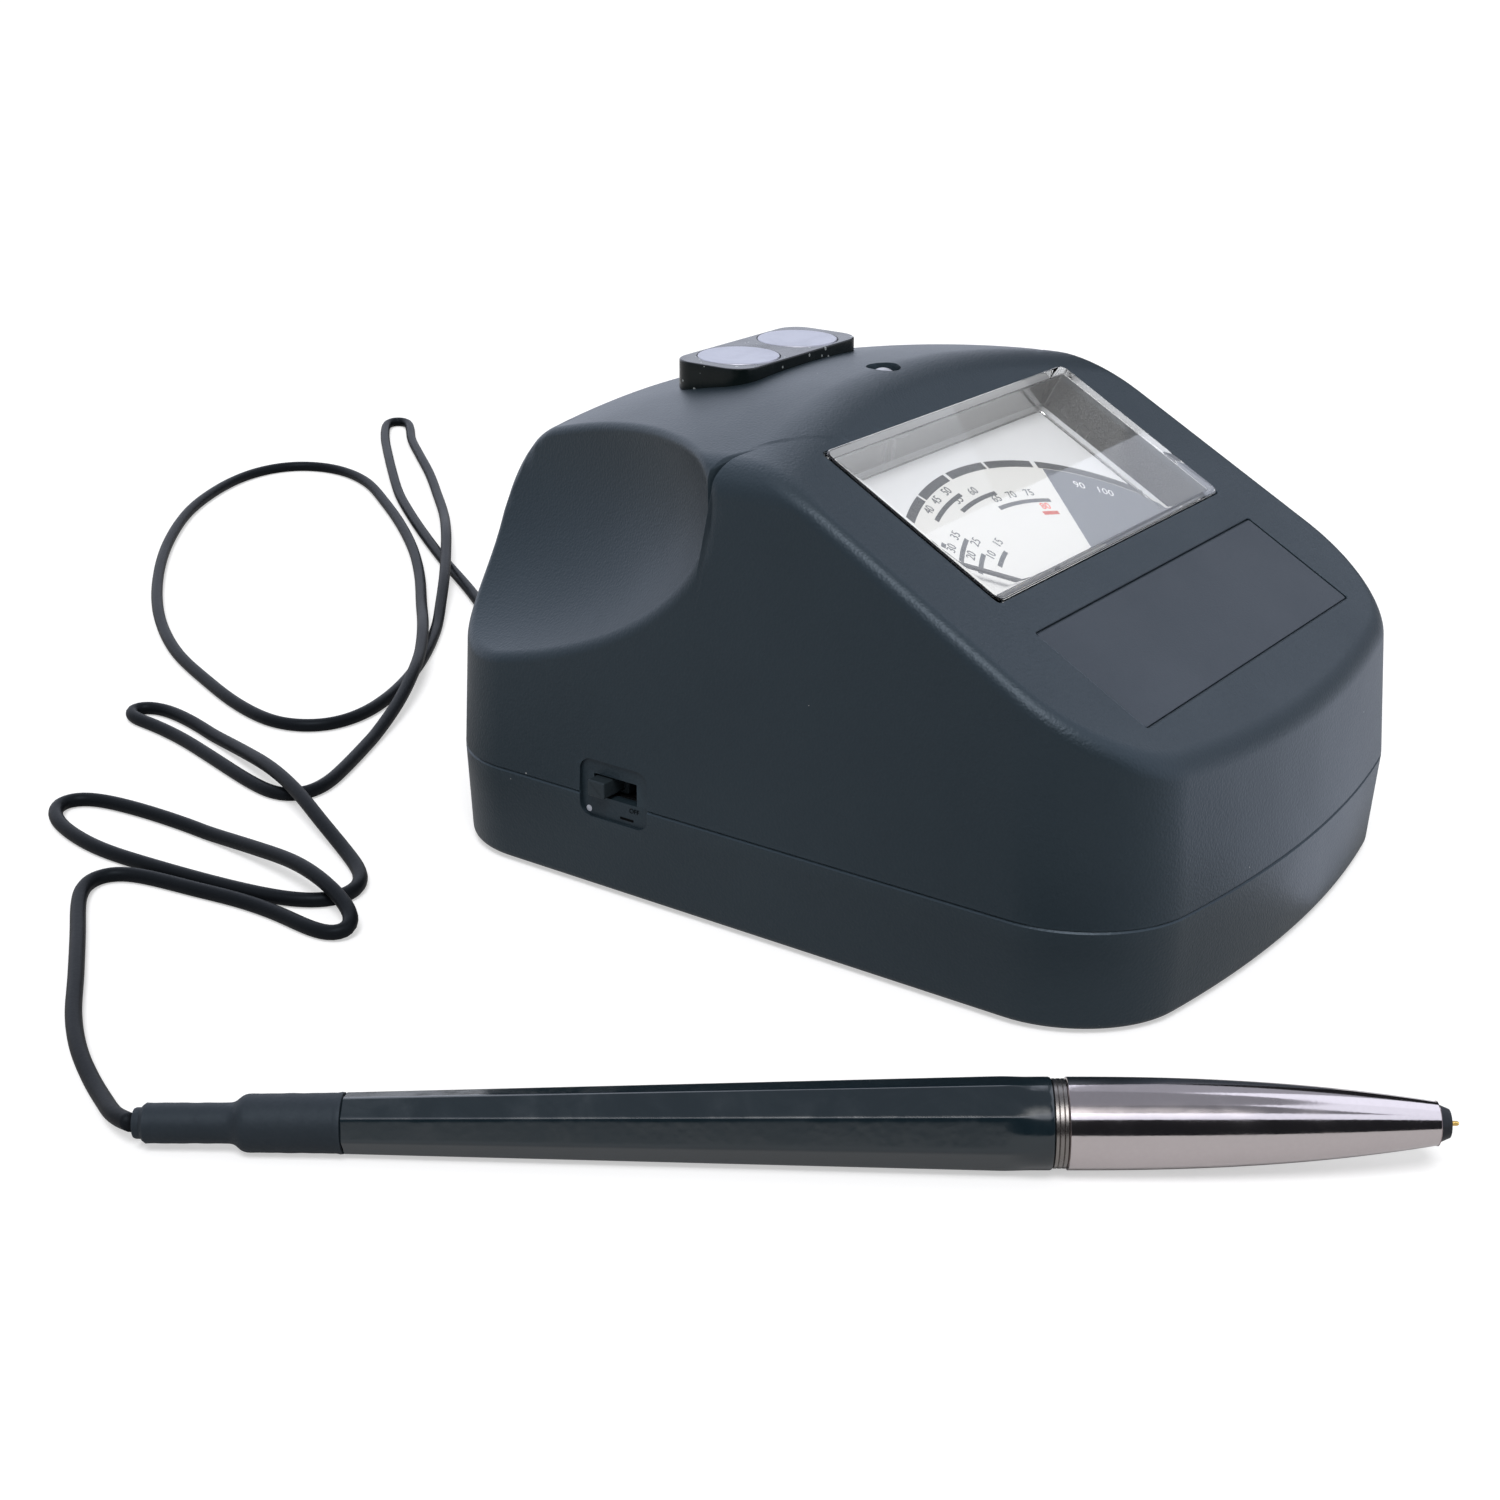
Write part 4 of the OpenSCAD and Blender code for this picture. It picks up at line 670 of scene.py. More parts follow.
STEEL = metal("plated_steel", (0.46, 0.47, 0.49), (0.58, 0.59, 0.61), 0.28)
IRON = metal("soft_iron", (0.22, 0.22, 0.23), (0.32, 0.32, 0.33), 0.45)
BRASS = metal("turned_brass", (0.55, 0.40, 0.16), (0.66, 0.50, 0.22), 0.25)
COPPER = metal("coil_copper", (0.50, 0.20, 0.08), (0.62, 0.28, 0.12), 0.3)
GOLD = metal("gilt_tip", (0.80, 0.52, 0.14), (0.88, 0.60, 0.20), 0.2)
COVER = clear("cover_clear", (0.99, 0.995, 1.0), 0.015)
LENS = clear("lens_milky", (0.55, 0.57, 0.66), 0.35, cloud=0.7)
DIAL = printed_plate()


# Case mouldings

def recess_cutter():
    """Rounded well in the left wall round the switch, square to that wall."""
    grid = rect_rows(RECESS_H, RECESS_L, 2.0, [(0, 0), (0, 6)])
    x = RECESS_D - CASE_W / 2 - grid[..., 2]
    return np.stack([x, SWITCH_Y + grid[..., 1], PARTING_Z + 1.2 + grid[..., 0]], -1)


def slot_cutter():
    """Slot of the knob's travel above the parting line."""
    length, top = KNOB_L + KNOB_TRAVEL + 2 * KNOB_GAP, KNOB_Z + KNOB_H / 2 + KNOB_GAP
    grid = rect_rows(top - PARTING_Z + 1, length, 0.2, [(0, 0), (0, WALL + 4)])
    x = 1.0 + WALL - CASE_W / 2 - grid[..., 2] + 1
    return np.stack([x, SWITCH_Y + grid[..., 1], (top + PARTING_Z - 1) / 2 + grid[..., 0]], -1)


def upper_moulding():
    """Outer skin and inner skin as one closed shell, then the openings for what shows in it."""
    around = compass(26, 60)
    rim = level_loop(around, PARTING_Z, SEAM)[None]
    outer = skin(around, 0, (54, 60, 90))
    outer[0] = level_loop(around, PARTING_Z + SEAM, 0)
    inner = skin(around, WALL, (14, 14, 18))
    inner_rim = level_loop(around, PARTING_Z, WALL)[None]
    inner[0] = level_loop(around, PARTING_Z + 0.5, WALL)
    body = loft("upper_moulding", np.concatenate([inner[::-1], inner_rim, rim, outer]))
    window = rect_rows(WINDOW_W, WINDOW_L, 0.8, straight(-6.5, 4, 0.12, 0), (0, WINDOW_L / 2))
    label = rect_rows(LABEL_W + 0.4, LABEL_L + 0.4, 0.6, straight(-LABEL_T, 4, 0.2, 0),
                      (0, -LABEL_GAP - LABEL_L / 2))
    hole = LED_R + LED_GAP
    led = revolve([(hole, LED_TOP - 6), (hole, LED_TOP - 0.2), (hole + 0.06, LED_TOP - 0.06),
                   (hole + 0.2, LED_TOP + 0.03), (hole + 0.2, LED_TOP + 3)]) + (0, LED_Y, 0)
    seat = rect_rows(BLOCK_W + 0.2, BLOCK_L + 0.2, 4.0, [(0, BLOCK_Z - 4.6), (0, BLOCK_Z + 6)], (0, BLOCK_Y))
    well = rect_rows(BLOCK_W - 3, BLOCK_L - 3, 3.0, [(0, BLOCK_Z - 12), (0, BLOCK_Z - 4)], (0, BLOCK_Y))
    boolean(body, loft("cut", on_panel(window), on_panel(label), led, seat, recess_cutter()), "DIFFERENCE")
    boolean(body, loft("cut", well, slot_cutter()), "DIFFERENCE")
    finish_piece(body, "base", "case_plastic", CASE, "upper_case", sharp=32)
    true_normals(body, upper_face)


def lower_moulding():
    """Tray with a rounded lower edge: rings of the case's outline, outside and in, then pillars and holes."""
    around = compass(26, 60)
    t = np.linspace(0, np.pi / 2, 7)
    edge = LOWER_EDGE_R
    outside = [level_loop(around, FOOT_STAND + edge * (1 - math.cos(a)), edge * (1 - math.sin(a)))
               for a in t]
    outside = [level_loop(around, FOOT_STAND, edge + 0.3)] + outside
    outside += [level_loop(around, z, 0) for z in np.linspace(FOOT_STAND + 4, PARTING_Z - SEAM, 5)]
    outside.append(level_loop(around, PARTING_Z - 0.02, SEAM))
    floor = FOOT_STAND + WALL
    inside = [level_loop(around, PARTING_Z - 0.02, WALL), level_loop(around, floor, WALL + 0.6)]
    body = loft("lower_moulding", np.array(outside + inside))
    bay = rect_rows(BAY_W + 3, BAY_L + 3, 1.0, [(0, floor - 1), (0, floor + 10)], (0, BAY_Y))
    bosses = [pillar(x, y, floor - 1, PARTING_Z - 0.02, BOSS_R) for x, y in BOSS_AT]
    posts = [pillar(x, y, floor - 1, BOARD_Z - 0.02, POST_R) for x, y in POST_AT]
    boolean(body, loft("join", bay, *bosses, *posts), "UNION")
    pocket = [pillar(x, y, FOOT_STAND - 1, FOOT_STAND + FOOT_POCKET, FOOT_R + 0.1) for x, y in FOOT_AT]
    shank = [pillar(x, y, FOOT_STAND + 3, PARTING_Z + 2, SCREW_R + 0.3) for x, y in BOSS_AT]
    head = [pillar(x, y, FOOT_STAND - 1, FOOT_STAND + 5, SCREW_HEAD_R + 0.3) for x, y in BOSS_AT]
    room = rect_rows(BAY_W, BAY_L, 0.5, [(0, floor), (0, floor + 20)], (0, BAY_Y))
    door = rect_rows(DOOR_W + 0.8, DOOR_L + 0.8, 0.4, [(0, FOOT_STAND - 2), (0, floor + 2)], (0, BAY_Y))
    grommet = revolve([(GROMMET_R, 0), (GROMMET_R, 14)], 48)[..., [0, 2, 1]] * (-1, 1, 1)
    grommet = grommet + (0, CASE_L / 2 - 10, GROMMET_Z)
    boolean(body, loft("cut", *pocket, *head, room, grommet, recess_cutter()), "DIFFERENCE")
    boolean(body, loft("cut", *shank, door), "DIFFERENCE")
    return finish_piece(body, "base", "case_plastic", CASE, "lower_case", sharp=32)


# Meter

def clear_cover():
    """Shallow clear box: one profile from the inner top down the wall, round the rim and over the top."""
    width, length = WINDOW_W - 2 * COVER_GAP, WINDOW_L - 2 * COVER_GAP
    middle = length / 2 - 0.4
    low, high = 0.02 - DIAL_DEPTH, COVER_PROUD
    t = np.linspace(0, np.pi / 2, 5)
    soft, wall = 0.35, COVER_WALL
    top_in = high - COVER_T
    inner = [(middle, top_in), (wall + 0.5, top_in), (wall + 0.2, top_in)]
    inner += [(wall + 0.2 * (1 - math.sin(a)), top_in - 0.2 * (1 - math.cos(a))) for a in t]
    inner += [(wall, low + 0.1), (wall - 0.1, low), (0.1, low), (0, low + 0.1)]
    outer = [(soft * (1 - math.cos(a)), high - soft * (1 - math.sin(a))) for a in t]
    outer += [(soft + 0.15, high), (middle, high)]
    rows = inner + outer
    body = loft("clear_cover", on_panel(rect_rows(width, length, 1.6, rows, (0, WINDOW_L / 2))))
    mouth = rect_rows(width - 2 * wall, 4 * wall, 0.3, [(0, low - 1), (0, -WALL - 1.4)])
    boolean(body, loft("cut", on_panel(mouth)), "DIFFERENCE")
    return finish_piece(body, "base", "clear_cover", COVER, "meter_cover", sharp=30)


def arc_bar(radius, start, end, thick, low=-DIAL_DEPTH, lift=0.05, steps=24):
    """Printed bar along the scale: a strip of an annulus about the arc's centre, a hair above the plate."""
    a = np.radians(np.linspace(start, end, steps) + PRINT_TURN)
    way = np.stack([np.sin(a), np.cos(a)], -1)
    ring = np.concatenate([(radius - thick / 2) * way, (radius + thick / 2) * way[::-1]])
    return slab(ring[::-1] + (0, ARC_S), low, low + lift)


def slab(outline, low, high):
    """Flat piece of one outline between two heights on the panel's axes."""
    ends = [np.column_stack([outline, np.full(len(outline), n)]) for n in (low, high)]
    return on_panel(np.array(ends))


def dial_print():
    """Scale of the dial: a segmented arc, short bars inside it, a grey sector and one red mark."""
    arc = [arc_bar(ARC_R, a, b, 1.5) for a, b in ((-24.6, -14.9), (-14.1, -2.1), (-0.9, 11.5), (12.4, 25.6))]
    bars = [(40.1, -19.4, -4.0), (37.9, -9.7, 6.7), (35.0, 2.4, 22.7), (35.0, -30.6, -20.0),
            (31.9, -32.2, -22.6), (29.1, -24.4, -15.1), (38.0, -28.2, -26.6)]
    dark = loft("dial_scale", *arc, *[arc_bar(*bar, 0.75) for bar in bars])
    finish_piece(dark, "base", "dial", PRINT_DARK)
    red = loft("dial_mark", arc_bar(32.1, 16.2, 22.2, 0.75))
    finish_piece(red, "base", "dial", PRINT_RED)
    # Sector from the pivot's line at 31 degrees out to the arc, cut off at the plate's side
    a = np.radians(np.linspace(31, 84, 60))
    drop = PIVOT_S - ARC_S
    reach = np.sqrt((ARC_R - 0.9) ** 2 - (drop * np.sin(a)) ** 2) - drop * np.cos(a)
    reach = np.minimum(reach, 35.6 / np.sin(a))
    edge = np.stack([reach * np.sin(a), reach * np.cos(a) + PIVOT_S], -1)
    root = np.stack([13 * np.sin(a), 13 * np.cos(a) + PIVOT_S], -1)
    sector = slab(np.concatenate([root, edge[::-1]])[::-1], -DIAL_DEPTH, 0.04 - DIAL_DEPTH)
    grey = loft("dial_sector", sector)
    finish_piece(grey, "base", "dial", PRINT_GREY)
    band = loft("dial_band", arc_bar(ARC_R, 27.0, 54.0, 1.5))
    finish_piece(band, "base", "dial", PRINT_DARK)


def flat_text(words, size):
    """Points and faces of a short word or number laid flat: across, up and a hair of thickness."""
    curve = bpy.data.curves.new("mark", "FONT")
    curve.body, curve.size, curve.align_x, curve.extrude = words, size, "CENTER", 0.02
    text = bpy.data.objects.new("mark", curve)
    bpy.context.scene.collection.objects.link(text)
    mesh = bpy.data.meshes.new_from_object(text.evaluated_get(bpy.context.evaluated_depsgraph_get()))
    flat = np.empty(len(mesh.vertices) * 3, np.float32)
    mesh.vertices.foreach_get("co", flat)
    faces = [list(face.vertices) for face in mesh.polygons]
    bpy.data.objects.remove(text)
    bpy.data.meshes.remove(mesh)
    return flat.reshape(-1, 3), faces


def print_piece(name, words, material, slot):
    """One object of printed words, from their placed points in mm and their faces."""
    points, faces, first = [], [], 0
    for placed, polygons in words:
        faces += [[first + i for i in face] for face in polygons]
        first += len(placed)
        points.append(placed * MM)
    mesh = bpy.data.meshes.new(name)
    mesh.from_pydata(np.concatenate(points).tolist(), [], faces)
    made = bpy.data.objects.new(name, mesh)
    bpy.context.scene.collection.objects.link(made)
    return finish_piece(made, "base", slot, material)


def numbers(name, material, size, marks):
    """Plain numbers of the scale: each is bent along its circle about the arc's centre."""
    words = []
    for number, radius, angle in marks:
        flat, faces = flat_text(number, size)
        x, y, n = flat.T
        a = math.radians(angle + PRINT_TURN) + x / radius
        r = radius + y
        bent = np.stack([r * np.sin(a), r * np.cos(a) + ARC_S, n + 0.03 - DIAL_DEPTH], -1)
        words.append((on_panel(bent), faces))
    return print_piece(name, words, material, "dial")


# Discs, label, switch

def disc_block():
    """Raised block with a rounded top edge and two round wells."""
    rows = soft_rows(BLOCK_Z - BLOCK_T, BLOCK_Z, 0.1, BLOCK_BEVEL, 4, 0.05)
    edge = rect_rows(BLOCK_W, BLOCK_L, BLOCK_CORNER, rows, (0, BLOCK_Y))
    body = loft("disc_block_body", edge)
    stem = rect_rows(BLOCK_W - 3.2, BLOCK_L - 3.2, 2.9, [(0, BLOCK_Z - 9), (0, BLOCK_Z - 4)], (0, BLOCK_Y))
    boolean(body, loft("join", stem), "UNION")
    rim = [(DISC_R + 0.06, BLOCK_Z - DISC_T), (DISC_R + 0.06, BLOCK_Z - 0.1), (DISC_R + 0.12, BLOCK_Z + 0.01),
           (DISC_R + 0.12, BLOCK_Z + 2)]
    wells = [revolve(rim) + (x * DISC_PITCH / 2, BLOCK_Y, 0) for x in (-1, 1)]
    boolean(body, loft("cut", *wells), "DIFFERENCE")
    return finish_piece(body, "base", "block", BLOCK_SKIN, "disc_block", sharp=30)


def reference_disc(name, x):
    """Turned disc with a rounded rim and a faintly dished face."""
    low, high = BLOCK_Z - DISC_T + 0.02, BLOCK_Z + 0.1
    t = np.linspace(0, np.pi / 2, 6)
    rim = [(DISC_R - 0.25 * (1 - math.cos(a)), high - 0.25 * (1 - math.sin(a))) for a in t]
    face = [(r, high - 0.06 * (1 - (r / DISC_R) ** 2)) for r in np.linspace(DISC_R - 0.5, 0.05, 12)]
    grid = revolve([(DISC_R - 0.3, low), (DISC_R, low + 0.3)] + rim + face, 96)
    disc = loft(name + "_turned", grid + (x * DISC_PITCH / 2, BLOCK_Y, 0))
    return finish_piece(disc, "base", "disc", DISC_SKIN, name)


def label_plate():
    """Bare plate in the panel's recess, with a fine rounded edge."""
    grid = rect_rows(LABEL_W, LABEL_L, 0.5, soft_rows(0.02 - LABEL_T, -0.18, 0.05, 0.12, 4),
                     (0, -LABEL_GAP - LABEL_L / 2))
    return finish_piece(loft("label_blank", on_panel(grid)), "base", "label", LABEL_SKIN, "label_plate")


def switch_knob():
    """Slider and knob in one: a soft block through the slot and a wider foot behind the wall."""
    y = SWITCH_Y + KNOB_TRAVEL / 2
    outer, inner = CASE_W / 2 + KNOB_OUT, CASE_W / 2 - WALL - 0.9
    knob = rect_rows(KNOB_H, KNOB_L, 0.3, soft_rows(0, outer - inner + 2.2, 0.05, 0.25))
    foot = rect_rows(KNOB_H + 1, KNOB_L + 1.8, 0.3, soft_rows(0.2, 1.9, 0.05, 0.05))

    def stand(grid):
        return np.stack([2.2 - inner - grid[..., 2], y + grid[..., 1], KNOB_Z + grid[..., 0]], -1)

    body = loft("switch_slider", stand(knob))
    boolean(body, loft("join", stand(foot)), "UNION")
    return finish_piece(body, "switch", "knob", KNOB_SKIN, "switch_knob", sharp=30)


def on_recess(points):
    """Points (across to the front, up, out) on the floor of the switch's well to the part's frame."""
    across, up, out = np.moveaxis(np.asarray(points, float), -1, 0)
    return np.stack([RECESS_D - CASE_W / 2 - out, SWITCH_Y - across, PARTING_Z + up], -1)


def switch_marks():
    """Prints in the well: the word for off over a short bar at the front, and a pale dot at the rear."""
    flat, faces = flat_text("OFF", 1.05)
    word = on_recess(flat + (3.5, -1.25, 0.03))
    print_piece("switch_word", [(word, faces)], PRINT_BLACK, "case_plastic")
    bar = rect_rows(2.5, 0.36, 0.1, [(0, 0), (0, 0.05)], (2.1, -2.5))
    finish_piece(loft("switch_bar", on_recess(bar)), "base", "case_plastic", PRINT_BLACK)
    dot = revolve([(0.5, 0), (0.5, 0.03), (0.42, 0.06)], 40) + (-5.0, -2.45, 0)
    finish_piece(loft("switch_dot", on_recess(dot)), "base", "case_plastic", PRINT_PALE)


# Probe pen

def pen_barrel():
    """Tapering barrel: an eight-sided loop with soft edges along the axis, which turns round at its front."""
    a = np.linspace(0, 2 * np.pi, 192, endpoint=False)
    facet = np.radians(29.5) + np.arange(8)[:, None] * np.pi / 4
    power = 60
    octagon = (np.maximum(np.cos(a - facet), 0) ** power).sum(0) ** (-1 / power)
    front = FERRULE_X - 0.02
    station = np.concatenate([[SLEEVE_L, SLEEVE_L + 0.15], np.linspace(SLEEVE_L + 2, front - 6, 30),
                              np.linspace(front - 5.6, front - 0.3, 16), [front - 0.1, front]])
    along = np.clip((station - SLEEVE_L) / (BARREL_L - 6), 0, 1)
    flat = BARREL_R0 - 0.09 + (BARREL_R1 - 0.32 - BARREL_R0 + 0.09) * along
    turn = np.clip((station - front + 6) / 4.4, 0, 1)
    turn = turn * turn * (3 - 2 * turn)
    radius = flat[:, None] * octagon * (1 - turn[:, None]) + (BARREL_R1 - 0.05) * turn[:, None]
    radius[0] -= 0.15
    radius[-1] -= 0.25
    radius[-2] -= 0.08
    bore = [(front, BARREL_BORE), (FERRULE_X - 9.3, BARREL_BORE), (FERRULE_X - 9.3, WIRE_BORE),
            (SLEEVE_L, WIRE_BORE)]
    inner = np.array([np.full(len(a), r) for _, r in bore])
    radius = np.concatenate([radius, inner])
    station = np.concatenate([station, [h for h, _ in bore]])
    stations = np.broadcast_to(station[:, None], radius.shape)
    grid = np.stack([stations, radius * np.cos(a), radius * np.sin(a)], -1)
    piece = loft("barrel_eight_sided", on_pen(grid), ring=True)
    return finish_piece(piece, "pen", "pen", BARREL_SKIN, "pen_barrel")


def pen_sleeve():
    """Shrunk sleeve: two tubes of different width, an S-shaped step between them and a thin front lip."""
    half = SLEEVE_L / 2
    h = np.linspace(1.5, SLEEVE_L - 1.0, 70)
    step = 1 / (1 + np.exp(-(h - half) / 0.32))
    r = 2.45 + (3.52 - 2.45) * step + 0.12 * np.clip((h - half) / half, 0, 1)
    r = r + 0.025 * np.sin(h * 1.9) * np.sin(h * 0.53 + 0.7)
    tail = [(0, 1.5), (0.05, 1.8), (0.3, 1.9), (0.9, 1.9), (1.15, 2.2)]
    lip = [(SLEEVE_L - 0.8, 3.66), (SLEEVE_L - 0.4, 3.74), (SLEEVE_L - 0.08, 3.7), (SLEEVE_L - 0.02, 3.55),
           (SLEEVE_L - 0.02, 2.5), (SLEEVE_L + 6, 2.5), (SLEEVE_L + 6, 1.45), (0, 1.45)]
    grid = spin_on_pen(tail + list(zip(h, r)) + lip)
    return finish_piece(loft("shrunk_sleeve", grid, ring=True), "pen", "rubber", RUBBER, "pen_sleeve")


def grip_cone():
    """Tapering cone: its radius falls with the 2.4th power of the way along, to a crisp edge at the nose."""
    t = np.sin(np.linspace(0.02, np.pi / 2 - 0.01, 90))
    wide = BARREL_R1 - 0.05
    r = CONE_R1 + (wide - CONE_R1) * (1 - t**2.4)
    front = [(NOSE_X - 0.03, CONE_R1 + 0.1), (NOSE_X, CONE_R1 - 0.05)]
    seat, spigot = NOSE_X - SPRING_BACK, BARREL_BORE - 0.02
    back = [(NOSE_X, SPRING_BORE), (seat, SPRING_BORE), (seat, 0.9), (seat - 5, 0.9), (seat - 5, 2.2),
            (FERRULE_X - 9, 2.2), (FERRULE_X - 9, spigot), (CONE_X, spigot), (CONE_X, wide - 0.2),
            (CONE_X + 0.12, wide)]
    rows = list(zip(CONE_X + t * CONE_L, r)) + front + back
    piece = loft("bullet_cone", spin_on_pen(rows, 128), ring=True)
    return finish_piece(piece, "pen", "nickel", NICKEL, "grip_cone")


def ferrule_ring():
    """Ring between barrel and cone with two fine turned grooves."""
    wide = BARREL_R1 - 0.25
    rows = [(FERRULE_X, BARREL_BORE), (FERRULE_X, wide - 0.15), (FERRULE_X + 0.12, wide)]
    for k in range(2):
        h = FERRULE_X + 0.55 + 0.6 * k
        rows += [(h - 0.1, wide), (h, wide - 0.1), (h + 0.1, wide)]
    rows += [(CONE_X - 0.14, wide), (CONE_X - 0.02, wide - 0.15), (CONE_X - 0.02, BARREL_BORE)]
    piece = loft("ferrule_turned", spin_on_pen(rows), ring=True)
    return finish_piece(piece, "pen", "nickel", RING_METAL, "ferrule_ring")


def tip_spring():
    """Spring behind the tip: the solid's mesh, copied so that this piece has its own."""
    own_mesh(frame["nodes"]["tip_spring"])


# Cord

def cord_line():
    """Centreline in mm: a spline through the route's points, resampled evenly, then eased at its bends."""
    way = np.array([math.cos(PEN_YAW), math.sin(PEN_YAW), 0])
    start = np.array([0, CASE_L / 2 - GROMMET_IN, GROMMET_Z])
    end = PEN_TAIL - 0.35 * way
    route = [(x, y, CORD_D / 2 + level * (CORD_D + STRAND_GAP)) for x, y, level in CORD_ROUTE]
    knots = np.array([start, start + (0, GROMMET_IN, 0), start + (0, 9.3, -0.1), start + (1.5, 17.3, -4.2),
                      *route, end - 4 * way + (2.7, 0.5, -0.7), end])
    padded = np.vstack([knots[:1], knots, knots[-1:]])
    a, b, c, d = (padded[i:len(knots) - 1 + i, None] for i in range(4))
    t = np.linspace(0, 1, 24, endpoint=False)[None, :, None]
    spline = b + 0.5 * t * (c - a + t * (2 * a - 5 * b + 4 * c - d + t * (3 * b - a - 3 * c + d)))
    spline = np.vstack([spline.reshape(-1, 3), end])
    along = np.concatenate([[0], np.cumsum(np.linalg.norm(np.diff(spline, axis=0), axis=1))])
    even = np.linspace(0, along[-1], 1300)
    line = np.stack([np.interp(even, along, spline[:, i]) for i in range(3)], -1)
    for _ in range(12):
        line[1:-1] = (line[:-2] + 2 * line[1:-1] + line[2:]) / 4
    line[:, 2] = np.maximum(line[:, 2], CORD_D / 2)
    return line


def cord():
    """Round tube swept along the centreline: each ring stands square to the line."""
    line = cord_line()
    way = np.gradient(line, axis=0)
    way = way / np.linalg.norm(way, axis=1, keepdims=True)
    side = np.cross(way, (0, 0, 1))
    side = side / np.linalg.norm(side, axis=1, keepdims=True)
    up = np.cross(side, way)
    a = np.linspace(0, 2 * np.pi, 14, endpoint=False)[None, :, None]
    rings = line[:, None] + CORD_D / 2 * (side[:, None] * np.cos(-a) + up[:, None] * np.sin(-a))
    piece = loft("cord_jacket_run", rings)
    piece.data.shade_smooth()
    piece.data.materials.append(CORD_SKIN)
    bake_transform(piece)
    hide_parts("probe_cord")
    return piece


# Stage, light and camera

def card(name, grid, glow):
    """Studio card that only gloss sees: an open sheet from a grid of points, with an even glow."""
    rows, cols = grid.shape[:2]
    index = np.arange(rows * cols).reshape(rows, cols)
    quads = np.stack([index[:-1, :-1], index[:-1, 1:], index[1:, 1:], index[1:, :-1]], -1)
    mesh = bpy.data.meshes.new(name)
    mesh.from_pydata((grid.reshape(-1, 3) * MM).tolist(), [], quads.reshape(-1, 4).tolist())
    made = bpy.data.objects.new(name, mesh)
    bpy.context.scene.collection.objects.link(made)
    material, _, shader, _ = new_material(name + "_paper", Roughness=1.0, Specular_IOR_Level=0.0)
    shader.inputs["Base Color"].default_value = (0, 0, 0, 1)
    shader.inputs["Emission Color"].default_value = (0.88, 0.93, 1.07, 1)
    shader.inputs["Emission Strength"].default_value = glow
    mesh.materials.append(material)
    made.visible_camera = made.visible_diffuse = made.visible_shadow = made.visible_transmission = False


def curved(radius, start, end, low, high):
    """Part of a dome about the object, as a grid: between two bearings and between two rises."""
    bearing, rise = np.radians(np.meshgrid(np.linspace(start, end, 40), np.linspace(low, high, 12)))
    flat = np.cos(rise)
    return radius * np.stack([flat * np.cos(bearing), flat * np.sin(bearing), np.sin(rise)], -1)


def cards():
    """What gloss sees round the object, by bearing and rise in degrees and by glow: a dark room behind the
    camera, bright walls to the rear and right, a grey ceiling and a pale sheet on the floor in front."""
    surroundings = {
        "dark_doorway": (0, 24, 0.5, 36, 0.02), "over_doorway": (0, 24, 36, 68, 0.5),
        "bright_wall": (24, 96, 0.5, 36, 1.5), "high_window": (24, 96, 36, 68, 1.9),
        "rear_corner": (96, 120, 0.5, 36, 0.95), "left_wall": (120, 190, 0.5, 36, 0.5),
        "left_ceiling": (96, 190, 36, 68, 0.9), "dark_room": (190, 262, 0.5, 36, 0.02),
        "lamp_surround": (190, 262, 36, 50, 1.3), "over_camera": (190, 262, 50, 68, 0.25),
        "right_window": (262, 312, 0.5, 68, 1.35), "low_front": (312, 360, 0.5, 24, 0.4),
        "front_wall": (312, 360, 24, 68, 1.5), "grey_ceiling": (0, 360, 68, 90, 0.36)}
    for name, (start, end, low, high, glow) in surroundings.items():
        card(name, curved(DOME_R, start, end, low, high), glow)
    x, y = np.meshgrid(np.linspace(10, 450, 4), np.linspace(-450, -63.5, 4))
    card("floor_sheet", np.stack([x, y, np.full_like(x, 0.1)], -1), 1.3)


def floor():
    """Pale floor that the camera sees as white, apart from the object's shadow; from below it is open."""
    square = np.array([(-1, -1), (1, -1), (1, 1), (-1, 1)]) * FLOOR_HALF
    corner = np.column_stack([square, np.full(4, FLOOR_Z)])
    mesh = bpy.data.meshes.new("floor")
    mesh.from_pydata((corner * MM).tolist(), [], [[0, 1, 2, 3]])
    made = bpy.data.objects.new("floor", mesh)
    bpy.context.scene.collection.objects.link(made)
    material, tree, shader, _ = new_material("floor_paper", Roughness=0.9, Specular_IOR_Level=0.0)
    shader.inputs["Base Color"].default_value = (0.62, 0.62, 0.63, 1)
    shader.inputs["Emission Color"].default_value = (1, 1, 1, 1)
    path = tree.nodes.new("ShaderNodeLightPath").outputs
    lift = add(tree, "Math", {0: path["Is Camera Ray"], 1: 0.5}, operation="MULTIPLY")
    tree.links.new(lift.outputs[0], shader.inputs["Emission Strength"])
    behind = tree.nodes.new("ShaderNodeNewGeometry").outputs["Backfacing"]
    open_way = tree.nodes.new("ShaderNodeBsdfTransparent")
    mixed = add(tree, "MixShader", {0: behind, 1: shader.outputs[0], 2: open_way.outputs[0]})
    tree.links.new(mixed.outputs[0], tree.nodes["Material Output"].inputs["Surface"])
    mesh.materials.append(material)


